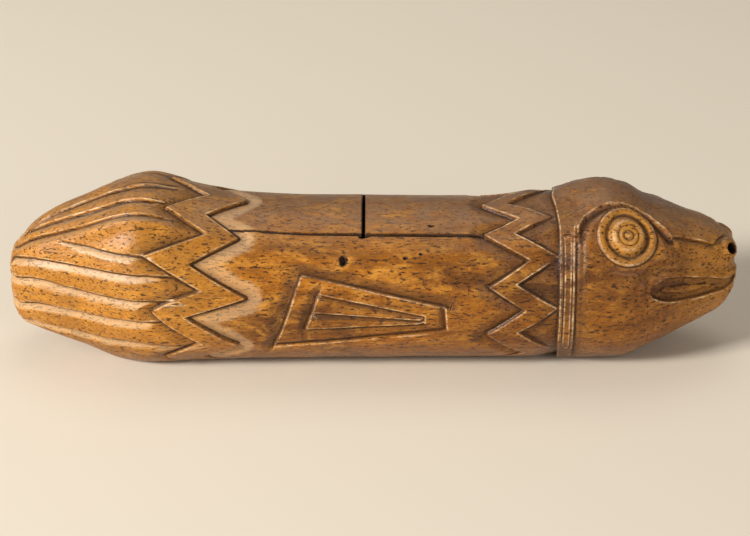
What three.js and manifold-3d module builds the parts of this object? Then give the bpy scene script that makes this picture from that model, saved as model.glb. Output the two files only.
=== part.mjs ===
// A slit drum carved from one log in the form of a fish.
//
// The log lies along X, with the tail at -X and the head at +X, and stands on a narrow flat
// planed along its underside. Two tongues on the back are freed by an H-shaped slit over a
// hollowed sound box, which opens through the underside. The whole drum is one piece of wood.
//
// The skin is described by cross-sections along X. A place on the skin is written as
// [x, angle], where the angle in degrees is 0 on the near flank (-Y), 90 on the back (+Z) and
// 180 on the far flank. The rays of the tail, the two zigzag bands and the step of the head
// are the rows and columns of the log's own surface. The finer carving is cut with chip cuts:
// V-shaped cuts that have a steep wall at a drawn line and a gentle slope beyond it.

import * as THREE from 'three';
import { ParametricGeometry } from 'three/addons/geometries/ParametricGeometry.js';
import { mergeVertices } from 'three/addons/utils/BufferGeometryUtils.js';
import Module from 'manifold-3d';

const wasm = await Module();
wasm.setup();

// ---------------------------------------------------------------- driving dimensions (mm)

// height of the log's axis above the flat that the drum stands on
const AXIS_HEIGHT = 63;

// cross-sections: place, half width, top and bottom from the axis, and squareness, where 2 is
// an ellipse and more is squarer
const SECTIONS = [
  { x: -297, halfWidth: 9, top: 14, bottom: -18, squareness: 2.3 },
  { x: -294, halfWidth: 19, top: 27, bottom: -31, squareness: 2.6 },
  { x: -289, halfWidth: 24, top: 33, bottom: -38, squareness: 2.7 },
  { x: -278, halfWidth: 29, top: 45, bottom: -43, squareness: 2.7 },
  { x: -260, halfWidth: 36, top: 58, bottom: -50, squareness: 2.6 },
  { x: -235, halfWidth: 45, top: 69, bottom: -59, squareness: 2.5 },
  { x: -205, halfWidth: 59, top: 81, bottom: -70, squareness: 2.3 },
  { x: -182, halfWidth: 67, top: 86, bottom: -72, squareness: 2.2 },
  { x: -160, halfWidth: 69, top: 82, bottom: -71, squareness: 2.1 },
  { x: -135, halfWidth: 69, top: 76, bottom: -70, squareness: 2.0 },
  { x: -100, halfWidth: 68, top: 70, bottom: -69, squareness: 2.0 },
  { x: -50, halfWidth: 67, top: 67, bottom: -68, squareness: 2.0 },
  { x: 90, halfWidth: 67, top: 66, bottom: -67, squareness: 2.0 },
  { x: 135, halfWidth: 67, top: 73, bottom: -67, squareness: 2.0 },
  { x: 165, halfWidth: 67, top: 80, bottom: -69, squareness: 2.0 },
  { x: 188, halfWidth: 66, top: 83, bottom: -68, squareness: 2.1 },
  { x: 205, halfWidth: 63, top: 79, bottom: -66, squareness: 2.2 },
  { x: 222, halfWidth: 57, top: 69, bottom: -57, squareness: 2.3 },
  { x: 239, halfWidth: 50, top: 63, bottom: -49, squareness: 2.4 },
  { x: 256, halfWidth: 41, top: 56, bottom: -40, squareness: 2.5 },
  { x: 272, halfWidth: 33, top: 51, bottom: -32, squareness: 2.6 },
  { x: 285, halfWidth: 26, top: 43, bottom: -25, squareness: 2.6 },
  { x: 292, halfWidth: 20, top: 36, bottom: -15, squareness: 2.5 },
  { x: 295.5, halfWidth: 13, top: 28, bottom: -3, squareness: 2.3 },
  { x: 297, halfWidth: 5, top: 21, bottom: 6, squareness: 2.0 },
];

// grooves between the rays of the tail: their angles on each flank, depth, steep and gentle side
const RAY_ANGLES = [73, 58, 38, 21, 6, -9, -32];
const RAY = { depth: 2.8, wall: 2.2, slope: 6 };

// zigzag edges of the two raised bands, from the back down the near flank, as [angle, x]
const TAIL_BAND = {
  rear: [[90, -131], [68, -171], [54, -140], [32, -181], [15, -136], [-1, -175], [-27, -138], [-47, -165]],
  front: [[90, -102], [68, -134], [54, -106], [32, -152], [15, -104], [-1, -152], [-27, -108], [-47, -138]],
};
const HEAD_BAND = {
  rear: [[90, 89], [71, 117], [60, 89], [38, 125], [22, 93], [3, 122], [-16, 92], [-43, 123]],
  front: [[90, 107], [71, 139], [60, 113], [38, 143], [22, 114], [3, 144], [-16, 116], [-43, 145]],
};
const BAND = { depth: 3, wall: 2.6, slope: 15, fadeFrom: -46, fadeTo: -62 };

// the rim where the head stands proud of the body, as [angle, x], and the collar on each flank
const HEAD_RIM = [[90, 145], [57, 148], [0, 149], [-45, 152], [-75, 153]];
const RIM = { depth: 3.6, wall: 1.6 };
const COLLAR = { panelX: 159, panelDepth: 1, frontX: 167, depth: 2.2, wall: 2, slope: 12, from: -40, to: 48 };

// sound box and the mouth that it was hollowed through
const SOUND_BOX = { from: -130, to: 106, halfWidth: 50, top: 52, bottom: -50, endLength: 16 };
const SOUND_BOX_SIDES = 24;
const MOUTH = { from: -98, to: 74, width: 56 };

// H-shaped slit in the back
const SLIT = { from: -113, to: 89, angle: 59, width: 2.2, crossX: -7, crossWidth: 2.4 };

// steps along a chip cut, and how far a cutter reaches above the skin
const CUT_STEP = 30;
const CUT_LIFT = 5;

// ---------------------------------------------------------------- the skin of the log

/**
 * Slopes for a curve that passes through points without overshooting them.
 */
function monotoneSlopes(places, values) {
  const slopes = values.map(() => 0);
  const last = values.length - 1;
  const rise = (i) => (values[i + 1] - values[i]) / (places[i + 1] - places[i]);
  slopes[0] = rise(0);
  slopes[last] = rise(last - 1);
  for (let i = 1; i < last; i += 1) {
    const before = rise(i - 1);
    const after = rise(i);
    if (before * after > 0) {
      const gapBefore = places[i] - places[i - 1];
      const gapAfter = places[i + 1] - places[i];
      const weightBefore = 2 * gapAfter + gapBefore;
      const weightAfter = gapAfter + 2 * gapBefore;
      slopes[i] = (weightBefore + weightAfter) / (weightBefore / before + weightAfter / after);
    }
  }
  return slopes;
}

const SECTION_PLACES = SECTIONS.map((section) => section.x);

/**
 * One dimension of the cross-section as a smooth function of x.
 */
function dimensionAlong(name) {
  const values = SECTIONS.map((section) => section[name]);
  const slopes = monotoneSlopes(SECTION_PLACES, values);
  return (x) => {
    const last = SECTION_PLACES.length - 2;
    const above = SECTION_PLACES.findIndex((place) => place > x);
    const i = Math.min(Math.max((above < 0 ? last + 1 : above) - 1, 0), last);
    const gap = SECTION_PLACES[i + 1] - SECTION_PLACES[i];
    const t = THREE.MathUtils.clamp((x - SECTION_PLACES[i]) / gap, 0, 1);
    return (
      (1 + 2 * t) * (1 - t) ** 2 * values[i] +
      t * (1 - t) ** 2 * gap * slopes[i] +
      t * t * (3 - 2 * t) * values[i + 1] +
      t * t * (t - 1) * gap * slopes[i + 1]
    );
  };
}

const halfWidthAt = dimensionAlong('halfWidth');
const topAt = dimensionAlong('top');
const bottomAt = dimensionAlong('bottom');
const squarenessAt = dimensionAlong('squareness');

/**
 * A point of the skin, at a place along the log and an angle round it in degrees.
 */
function skinPoint(x, angle) {
  const turn = THREE.MathUtils.degToRad(angle);
  const power = 2 / squarenessAt(x);
  const middle = (topAt(x) + bottomAt(x)) / 2;
  const across = Math.sign(Math.cos(turn)) * Math.abs(Math.cos(turn)) ** power;
  const upward = Math.sign(Math.sin(turn)) * Math.abs(Math.sin(turn)) ** power;
  return new THREE.Vector3(
    x,
    -halfWidthAt(x) * across,
    AXIS_HEIGHT + middle + (topAt(x) - middle) * upward,
  );
}

/**
 * The outward direction of the skin at a place.
 */
function skinNormal(x, angle) {
  const reach = 1.5;
  const along = skinPoint(x + reach, angle).sub(skinPoint(x - reach, angle));
  const around = skinPoint(x, angle + reach).sub(skinPoint(x, angle - reach));
  return along.cross(around).normalize();
}

// ---------------------------------------------------------------- solids from rings of points

/**
 * The volume inside a closed triangle mesh, negative where its faces point inward.
 */
function signedVolume(geometry) {
  const position = geometry.getAttribute('position');
  const index = geometry.getIndex();
  const corners = [new THREE.Vector3(), new THREE.Vector3(), new THREE.Vector3()];
  let total = 0;
  for (let i = 0; i < index.count; i += 3) {
    corners.forEach((corner, k) => corner.fromBufferAttribute(position, index.getX(i + k)));
    total += corners[0].dot(corners[1].clone().cross(corners[2])) / 6;
  }
  return total;
}

/**
 * A three.js geometry as a solid that can be joined and cut.
 */
function toSolid(geometry) {
  const bare = geometry.clone();
  bare.deleteAttribute('normal');
  bare.deleteAttribute('uv');
  const merged = mergeVertices(bare, 1e-4);
  const flip = signedVolume(merged) < 0;
  const index = merged.getIndex().array;
  const triangles = [];
  for (let i = 0; i < index.length; i += 3) {
    const [a, b, c] = [index[i], index[i + 1], index[i + 2]];
    if (a !== b && b !== c && c !== a) {
      triangles.push(...(flip ? [a, c, b] : [a, b, c]));
    }
  }
  return new wasm.Manifold(
    new wasm.Mesh({
      numProp: 3,
      vertProperties: new Float32Array(merged.getAttribute('position').array),
      triVerts: new Uint32Array(triangles),
    }),
  );
}

/**
 * The solid inside a skin stretched over rings of points, closed by a point at each end, or
 * joined end to start where it is a loop.
 */
function solidOverRings(rings, isLoop = false) {
  const middleOf = (ring) => {
    const middle = new THREE.Vector3();
    ring.forEach((point) => middle.add(point));
    return middle.divideScalar(ring.length);
  };
  const first = rings[0];
  const last = rings[rings.length - 1];
  const rows = isLoop
    ? [...rings, first]
    : [first.map(() => middleOf(first)), ...rings, last.map(() => middleOf(last))];
  const steps = rows.length - 1;
  const sides = first.length;
  const place = (u, v, target) => {
    const row = rows[Math.round(u * steps)];
    target.copy(row[Math.round(v * sides) % sides]);
  };
  return toSolid(new ParametricGeometry(place, steps, sides));
}

/**
 * A box given by its two opposite corners.
 */
function boxBetween(low, high) {
  const size = high.clone().sub(low);
  const box = new THREE.BoxGeometry(size.x, size.y, size.z);
  box.translate((low.x + high.x) / 2, (low.y + high.y) / 2, (low.z + high.z) / 2);
  return toSolid(box);
}

// ---------------------------------------------------------------- chip cuts

/**
 * A drawn line with more points, so that a cut along it follows the round of the skin.
 */
function refine(path, isLoop) {
  const ends = isLoop ? [...path, path[0]] : path;
  const fine = [];
  for (let i = 0; i + 1 < ends.length; i += 1) {
    const [fromX, fromAngle, fromSize = 1] = ends[i];
    const [toX, toAngle, toSize = 1] = ends[i + 1];
    const length = skinPoint(fromX, fromAngle).distanceTo(skinPoint(toX, toAngle));
    const steps = Math.max(1, Math.ceil(length / CUT_STEP));
    for (let k = 0; k < steps; k += 1) {
      const t = k / steps;
      fine.push([
        THREE.MathUtils.lerp(fromX, toX, t),
        THREE.MathUtils.lerp(fromAngle, toAngle, t),
        THREE.MathUtils.lerp(fromSize, toSize, t),
      ]);
    }
  }
  return isLoop ? fine : [...fine, path[path.length - 1]];
}

/**
 * The solid that a chip cut takes away along a drawn line.
 *
 * The steep wall's upper edge follows the line. `slopeSide` is 1 where the gentle slope lies
 * to the left of the line's direction, seen from outside, and -1 where it lies to the right.
 * A point's third value scales the cut there, so that a cut can run out into the skin.
 */
function chipCut(path, { depth, wall, slope, slopeSide = 1, isLoop = false, overEnd = 0 }) {
  const fine = refine(path, isLoop);
  const points = fine.map(([x, angle]) => skinPoint(x, angle));
  const normals = fine.map(([x, angle]) => skinNormal(x, angle));
  const sizes = fine.map(([, , size = 1]) => size);
  if (overEnd > 0) {
    const outward = points[0].clone().sub(points[1]).setLength(overEnd);
    points.unshift(points[0].clone().add(outward));
    normals.unshift(normals[0]);
    sizes.unshift(sizes[0]);
  }
  const count = points.length;
  const neighbour = (i, step) => {
    const wrapped = (i + step + count) % count;
    return isLoop ? wrapped : THREE.MathUtils.clamp(i + step, 0, count - 1);
  };
  const rings = points.map((point, i) => {
    const before = point.clone().sub(points[neighbour(i, -1)]).normalize();
    const after = points[neighbour(i, 1)].clone().sub(point).normalize();
    const along = before.clone().add(after).normalize();
    const left = normals[i].clone().cross(along).normalize();
    const straight = before.lengthSq() > 0 ? before : after;
    const mitre = 1 / Math.max(0.45, normals[i].clone().cross(straight).normalize().dot(left));
    const away = left.multiplyScalar(slopeSide * mitre * sizes[i]);
    const at = (sideways, height) =>
      point.clone().addScaledVector(away, sideways).addScaledVector(normals[i], height);
    return [
      at(0, CUT_LIFT),
      at(0, 0),
      at(wall, -depth * sizes[i]),
      at(wall + slope, 0),
      at(wall + slope, CUT_LIFT),
    ];
  });
  return solidOverRings(rings, isLoop);
}

/**
 * A drawn line on the far flank that mirrors one on the near flank.
 */
function mirrored(path) {
  return path.map(([x, angle, size = 1]) => [x, 180 - angle, size]);
}

/**
 * The same chip cut on both flanks.
 */
function onBothFlanks(path, cut) {
  const side = cut.slopeSide ?? 1;
  return [chipCut(path, cut), chipCut(mirrored(path), { ...cut, slopeSide: -side })];
}

/**
 * A ring drawn on the skin round a centre, with its points evenly spaced.
 */
function ringOnSkin([x, angle], radius, sides) {
  const arc = skinPoint(x, angle + 0.5).distanceTo(skinPoint(x, angle - 0.5));
  return Array.from({ length: sides }, (unused, i) => {
    const turn = (2 * Math.PI * i) / sides;
    return [x + radius * Math.cos(turn), angle + (radius / arc) * Math.sin(turn)];
  });
}

// ---------------------------------------------------------------- the carving

const EYE = { place: [203, 48], sides: 20 };

/**
 * The ringed eyes under their brows.
 */
function eyes() {
  const brow = [
    [160, 50, 0.4], [163, 58], [169, 64], [179, 69], [191, 73], [205, 75], [218, 73], [229, 66],
    [238, 56], [255, 54], [272, 49], [281, 47, 0.4],
  ];
  const ring = (radius, cut) =>
    onBothFlanks(ringOnSkin(EYE.place, radius, EYE.sides), { ...cut, isLoop: true });
  return [
    ...onBothFlanks(brow, { depth: 2.6, wall: 1.6, slope: 7, slopeSide: -1 }),
    ...ring(24.5, { depth: 1.8, wall: 1.4, slope: 5, slopeSide: -1 }),
    ...ring(19, { depth: 2.4, wall: 2.6, slope: 1.4, slopeSide: 1 }),
    ...ring(8.6, { depth: 1.4, wall: 1.2, slope: 1.6, slopeSide: 1 }),
  ];
}

/**
 * The mouth: lips cut round a long tongue, open at the snout.
 */
function mouth() {
  const lips = [
    [297, 8], [285, 8], [272, 10], [252, 16], [235, 17], [225, 14], [220, 8], [222, 2],
    [229, -2], [240, -4], [256, -6], [274, -9], [287, -12], [296, -14, 0.6],
  ];
  const tongue = [[231, 5], [238, 9], [255, 4], [282, -3], [264, -3], [247, -2], [238, -1]];
  return [
    ...onBothFlanks(lips, { depth: 2.6, wall: 1.4, slope: 5, slopeSide: -1 }),
    ...onBothFlanks(tongue, { depth: 2, wall: 1, slope: 3, slopeSide: 1, isLoop: true }),
  ];
}

/**
 * The fin on each flank: a framed trapezoid round a smaller one with a wedge cut.
 */
function fins() {
  const frame = [[-56, 30], [-79, -29], [60, -13], [58, 7]];
  const field = [[-42, 17], [-53, -10], [42, -5], [42, 1]];
  const wedge = [[-46, 4], [34, -2, 0.3]];
  return [
    ...onBothFlanks(frame, { depth: 2.4, wall: 1.4, slope: 7, slopeSide: -1, isLoop: true }),
    ...onBothFlanks(field, { depth: 2, wall: 1.2, slope: 5, slopeSide: -1, isLoop: true }),
    ...onBothFlanks(wedge, { depth: 1.8, wall: 1, slope: 4, slopeSide: -1 }),
  ];
}

/**
 * The drilled nostrils.
 */
function nostrils() {
  const drill = new THREE.CylinderGeometry(4.6, 3.8, 24, 14);
  const bores = [1, -1].map((side) => {
    const bore = drill.clone();
    bore.rotateX(-side * THREE.MathUtils.degToRad(62));
    bore.rotateZ(side * THREE.MathUtils.degToRad(38));
    bore.translate(288, -side * 14, AXIS_HEIGHT + 24);
    return toSolid(bore);
  });
  return bores;
}

// ---------------------------------------------------------------- the log and its large carving

/**
 * A function that joins points [input, output] by straight lines, and is level beyond them.
 */
function polyline(points) {
  const sorted = [...points].sort((one, other) => one[0] - other[0]);
  return (input) => {
    const above = sorted.findIndex(([place]) => place > input);
    if (above <= 0) {
      return above === 0 ? sorted[0][1] : sorted[sorted.length - 1][1];
    }
    const [low, lowValue] = sorted[above - 1];
    const [high, highValue] = sorted[above];
    return THREE.MathUtils.mapLinear(input, low, high, lowValue, highValue);
  };
}

/**
 * The columns of the near flank, from the back to the underside: their angles at the tail, at
 * each zigzag band, and whether one is the bottom of a groove between rays.
 *
 * Every third column runs from a ray's gentle side to the corners of both bands.
 */
function flankColumns() {
  const columns = [{ tail: 90, tailBand: 90, headBand: 90, isGroove: true }];
  columns.push({ tail: 86, tailBand: 86, headBand: 86, isGroove: false });
  RAY_ANGLES.forEach((ray, k) => {
    [RAY.wall, 0, -RAY.slope].forEach((offset, j) => {
      const share = (j + 1) / 3;
      const between = ({ rear }) => THREE.MathUtils.lerp(rear[k][0], rear[k + 1][0], share);
      columns.push({
        tail: ray + offset,
        tailBand: between(TAIL_BAND),
        headBand: between(HEAD_BAND),
        isGroove: offset === 0,
      });
    });
  });
  const lowest = columns[columns.length - 1];
  [0.25, 0.5, 0.75, 1].forEach((share) => {
    columns.push({
      tail: THREE.MathUtils.lerp(lowest.tail, -90, share),
      tailBand: THREE.MathUtils.lerp(lowest.tailBand, -90, share),
      headBand: THREE.MathUtils.lerp(lowest.headBand, -90, share),
      isGroove: false,
    });
  });
  return columns;
}

/**
 * The rows from tail to snout: where each lies for an angle, how deep it is cut there, how
 * much of the ray grooves it carries, and how far its columns have moved from the tail's
 * angles (0) through the tail band's (1) to the head band's (2).
 */
function logRows() {
  const fade = polyline([[BAND.fadeTo, 0], [BAND.fadeFrom, 1]]);
  const row = (x, { depth = () => 0, rays = 0, turn = 2 } = {}) => ({
    x: typeof x === 'function' ? x : () => x,
    depth,
    rays,
    turn,
  });
  const bandRows = (band, turn) => {
    const rear = polyline(band.rear);
    const front = polyline(band.front);
    const ground = (angle) => BAND.depth * fade(angle);
    return [
      row((angle) => rear(angle) - BAND.wall, { depth: ground, turn }),
      row(rear, { turn }),
      row(front, { turn }),
      row((angle) => front(angle) + BAND.wall, { depth: ground, turn }),
    ];
  };
  const tailRear = polyline(TAIL_BAND.rear);
  const tailFront = polyline(TAIL_BAND.front);
  const headRear = polyline(HEAD_BAND.rear);
  const rim = polyline(HEAD_RIM);
  const collar = polyline([
    [COLLAR.from - 8, 0],
    [COLLAR.from, 1],
    [COLLAR.to, 1],
    [COLLAR.to + 6, 0],
  ]);
  return [
    row(-297, { rays: 0.5, turn: 0 }),
    ...[-294, -289, -278, -260, -235, -208].map((x) => row(x, { rays: 1, turn: 0 })),
    row((angle) => tailRear(angle) - BAND.slope, { rays: 0.7, turn: 0.6 }),
    ...bandRows(TAIL_BAND, 1),
    row((angle) => tailFront(angle) + BAND.slope, { turn: 1 }),
    row(-50, { turn: 1.3 }),
    row(30, { turn: 1.7 }),
    row((angle) => headRear(angle) - BAND.slope),
    ...bandRows(HEAD_BAND, 2),
    row((angle) => rim(angle) - RIM.wall, { depth: () => RIM.depth }),
    row(rim),
    row(COLLAR.panelX, { depth: (angle) => COLLAR.panelDepth * collar(angle) }),
    row(COLLAR.frontX),
    row(COLLAR.frontX + COLLAR.wall, { depth: (angle) => COLLAR.depth * collar(angle) }),
    row(COLLAR.frontX + COLLAR.slope),
    ...[192, 205, 222, 239, 256, 272, 285, 292, 295.5, 297].map((x) => row(x)),
  ];
}

/**
 * The shaped log, with its rays, bands and rim.
 */
function shapedLog() {
  const columns = flankColumns();
  const rings = logRows().map((row) => {
    const nearHalf = columns.map((column) => {
      const angle = polyline([[0, column.tail], [1, column.tailBand], [2, column.headBand]])(row.turn);
      const x = row.x(angle);
      const grooveDepth = column.isGroove ? RAY.depth * row.rays : 0;
      const depth = Math.max(row.depth(angle), grooveDepth);
      return skinPoint(x, angle).addScaledVector(skinNormal(x, angle), -depth);
    });
    const farHalf = nearHalf.slice(1, -1).reverse();
    return [...nearHalf, ...farHalf.map(({ x, y, z }) => new THREE.Vector3(x, -y, z))];
  });
  return solidOverRings(rings);
}

// ---------------------------------------------------------------- hollow, mouth and slit

/**
 * The hollow under the tongues, with rounded ends.
 */
function soundBox() {
  const middle = (SOUND_BOX.top + SOUND_BOX.bottom) / 2;
  const ends = [
    { inset: 0, size: 0.72 },
    { inset: 0.3, size: 0.9 },
    { inset: 1, size: 1 },
  ];
  const rows = [
    ...ends.map(({ inset, size }) => [SOUND_BOX.from + inset * SOUND_BOX.endLength, size]),
    ...[...ends].reverse().map(({ inset, size }) => [SOUND_BOX.to - inset * SOUND_BOX.endLength, size]),
  ];
  return solidOverRings(
    rows.map(([x, size]) =>
      Array.from({ length: SOUND_BOX_SIDES }, (unused, i) => {
        const turn = (2 * Math.PI * i) / SOUND_BOX_SIDES;
        return new THREE.Vector3(
          x,
          -SOUND_BOX.halfWidth * size * Math.cos(turn),
          AXIS_HEIGHT + middle + (SOUND_BOX.top - middle) * size * Math.sin(turn),
        );
      }),
    ),
  );
}

/**
 * The mouth in the underside.
 */
function undersideMouth() {
  return boxBetween(
    new THREE.Vector3(MOUTH.from, -MOUTH.width / 2, -20),
    new THREE.Vector3(MOUTH.to, MOUTH.width / 2, AXIS_HEIGHT - 20),
  );
}

/**
 * The H-shaped slit: one long cut on each side of the back and one across.
 */
function backSlit() {
  const sideCuts = [SLIT.angle, 180 - SLIT.angle].map((angle) => {
    const length = SLIT.to - SLIT.from;
    const saw = new THREE.BoxGeometry(length, 44, SLIT.width);
    const turn = THREE.MathUtils.degToRad(180 - angle);
    saw.rotateX(turn);
    const edge = skinPoint(0, angle);
    saw.translate((SLIT.from + SLIT.to) / 2, edge.y, edge.z);
    return toSolid(saw);
  });
  const edge = skinPoint(0, SLIT.angle);
  const cross = boxBetween(
    new THREE.Vector3(SLIT.crossX - SLIT.crossWidth / 2, edge.y, AXIS_HEIGHT + 10),
    new THREE.Vector3(SLIT.crossX + SLIT.crossWidth / 2, -edge.y, AXIS_HEIGHT + 90),
  );
  return [...sideCuts, cross];
}

/**
 * The finished drum, without the loose chips that crossing cuts leave.
 */
function drumBody() {
  const cuts = [
    ...eyes(),
    ...mouth(),
    ...fins(),
    ...nostrils(),
    soundBox(),
    undersideMouth(),
    ...backSlit(),
    boxBetween(new THREE.Vector3(-320, -120, -60), new THREE.Vector3(320, 120, 0)),
  ];
  const carved = cuts.reduce((log, cut) => log.subtract(cut), shapedLog());
  const [body] = carved.decompose().sort((one, other) => other.volume() - one.volume());
  return body;
}

/**
 * A solid as a flat-shaded three.js geometry.
 */
function toGeometry(solid) {
  const mesh = solid.getMesh();
  const geometry = new THREE.BufferGeometry();
  geometry.setAttribute('position', new THREE.BufferAttribute(mesh.vertProperties, 3));
  geometry.setIndex(new THREE.BufferAttribute(mesh.triVerts, 1));
  geometry.computeVertexNormals();
  return geometry;
}

const oiledWood = new THREE.MeshStandardMaterial({
  color: 0xa8641f,
  roughness: 0.5,
  metalness: 0,
  flatShading: true,
});

const drum = new THREE.Group();
const body = new THREE.Mesh(toGeometry(drumBody()), oiledWood);
body.name = 'drum_body';
drum.add(body);

export default drum;
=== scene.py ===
"""A slit drum carved from one log in the form of a fish.

The log lies along X, with the tail at -X and the head at +X, and stands on a narrow flat
along its underside. A place on its skin is written as (x, angle): x in millimetres along the
log, and an angle in degrees that is 0 on the near flank (-Y), 90 on the back (+Z) and 180 on
the far flank. Shapes are worked out in millimetres and put into the meshes in metres.
"""
import logging
import math
from dataclasses import dataclass, field
from enum import Enum

import bpy
import numpy as np
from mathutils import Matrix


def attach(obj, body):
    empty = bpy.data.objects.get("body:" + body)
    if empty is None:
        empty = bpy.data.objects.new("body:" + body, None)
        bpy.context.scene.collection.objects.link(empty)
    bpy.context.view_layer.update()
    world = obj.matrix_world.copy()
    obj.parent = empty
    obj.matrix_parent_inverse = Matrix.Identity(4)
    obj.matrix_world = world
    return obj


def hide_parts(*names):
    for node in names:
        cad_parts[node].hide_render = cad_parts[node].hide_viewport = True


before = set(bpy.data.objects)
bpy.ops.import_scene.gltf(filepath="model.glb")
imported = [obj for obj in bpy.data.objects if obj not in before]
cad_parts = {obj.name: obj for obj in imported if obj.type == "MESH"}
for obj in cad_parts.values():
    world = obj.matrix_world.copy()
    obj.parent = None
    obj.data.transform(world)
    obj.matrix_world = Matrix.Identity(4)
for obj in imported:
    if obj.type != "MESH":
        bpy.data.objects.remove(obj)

LOG = logging.getLogger("slit_drum")
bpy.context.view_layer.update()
NODE = "drum_body"
MM = 0.001
# the distance stored where no line is near, and the width that every cut's wall is stored as
UNMARKED = 9.0
WALL_SPAN = 1.2
# a cut's least size, so that nothing is divided by zero where it runs out
LEAST_SIZE = 0.05
# how strongly rows and columns crowd towards the lines that they run between
CROWDING = 0.4

Array = np.ndarray
Place = tuple[float, ...]
Profile = tuple[tuple[float, float], ...]
Colour = tuple[float, float, float, float]
Vector = tuple[float, float, float]
Socket = bpy.types.NodeSocket


# ------------------------------------------------------------------ tools for curves and noise


def monotone_curve(places: Array, values: Array, at: Array) -> Array:
    """A smooth curve through points that never overshoots them.

    Each stretch is a cubic whose end slopes are the weighted harmonic means of the rises on
    both sides, or zero where the rises differ in sign.

    Args:
        places: Rising places of the points.
        values: Values at those places.
        at: Places to work the curve out at.

    Returns:
        The curve's values, in the shape of at.
    """
    gap = np.diff(places)
    rise = np.diff(values) / gap
    slope = np.zeros_like(values)
    before, after = rise[:-1], rise[1:]
    weight_before = 2 * gap[1:] + gap[:-1]
    weight_after = gap[1:] + 2 * gap[:-1]
    same = before * after > 0
    mean = (weight_before + weight_after)[same] / (
        weight_before[same] / before[same] + weight_after[same] / after[same]
    )
    slope[1:-1][same] = mean
    slope[0], slope[-1] = rise[0], rise[-1]
    i = np.clip(np.searchsorted(places, at) - 1, 0, len(places) - 2)
    t = np.clip((at - places[i]) / gap[i], 0, 1)
    return (
        (1 + 2 * t) * (1 - t) ** 2 * values[i]
        + t * (1 - t) ** 2 * gap[i] * slope[i]
        + t * t * (3 - 2 * t) * values[i + 1]
        + t * t * (t - 1) * gap[i] * slope[i + 1]
    )


def smooth_step(low: float, high: float, at: Array) -> Array:
    """The rise 3t² − 2t³ from 0 at low to 1 at high."""
    t = np.clip((at - low) / (high - low), 0, 1)
    return t * t * (3 - 2 * t)


def crowded(share: Array) -> Array:
    """A share from 0 to 1, eased so that even steps crowd at both ends."""
    return (1 - CROWDING) * share + CROWDING * smooth_step(0, 1, share)


def read_profile(profile: Profile, at: Array) -> Array:
    """A profile of (distance, depth) corners, read along its straight lines.

    Args:
        profile: The corners, by rising distance.
        at: Distances to read it at.

    Returns:
        Depths in the shape of at.
    """
    distances, depths = zip(*profile)
    return np.interp(at, distances, depths)


def lattice_noise(points: Array, seed: int) -> Array:
    """Smooth noise between −1 and 1 with bumps one unit apart.

    Each corner of the unit lattice holds a fixed random value, and a point takes the eight
    corners round it, weighted by the rise 3t² − 2t³ along each axis.

    Args:
        points: Places, shaped (..., 3).
        seed: Which set of random values is used.

    Returns:
        Noise in the shape of points without its last axis.
    """
    size = 64
    table = np.random.default_rng(seed).uniform(-1, 1, (size, size, size))
    whole = np.floor(points).astype(int)
    t = points - whole
    t = t * t * (3 - 2 * t)
    total = np.zeros(points.shape[:-1])
    for corner in np.ndindex(2, 2, 2):
        weight = np.ones(points.shape[:-1])
        for axis in range(3):
            weight = weight * (t[..., axis] if corner[axis] else 1 - t[..., axis])
        cell = (whole + np.array(corner)) % size
        total += weight * table[cell[..., 0], cell[..., 1], cell[..., 2]]
    return total


# ------------------------------------------------------------------ the skin of the log


@dataclass(frozen=True)
class Section:
    """A cross-section of the log, with heights from its axis; squareness 2 is an ellipse."""

    x: float
    half_width: float
    top: float
    bottom: float
    squareness: float


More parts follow.
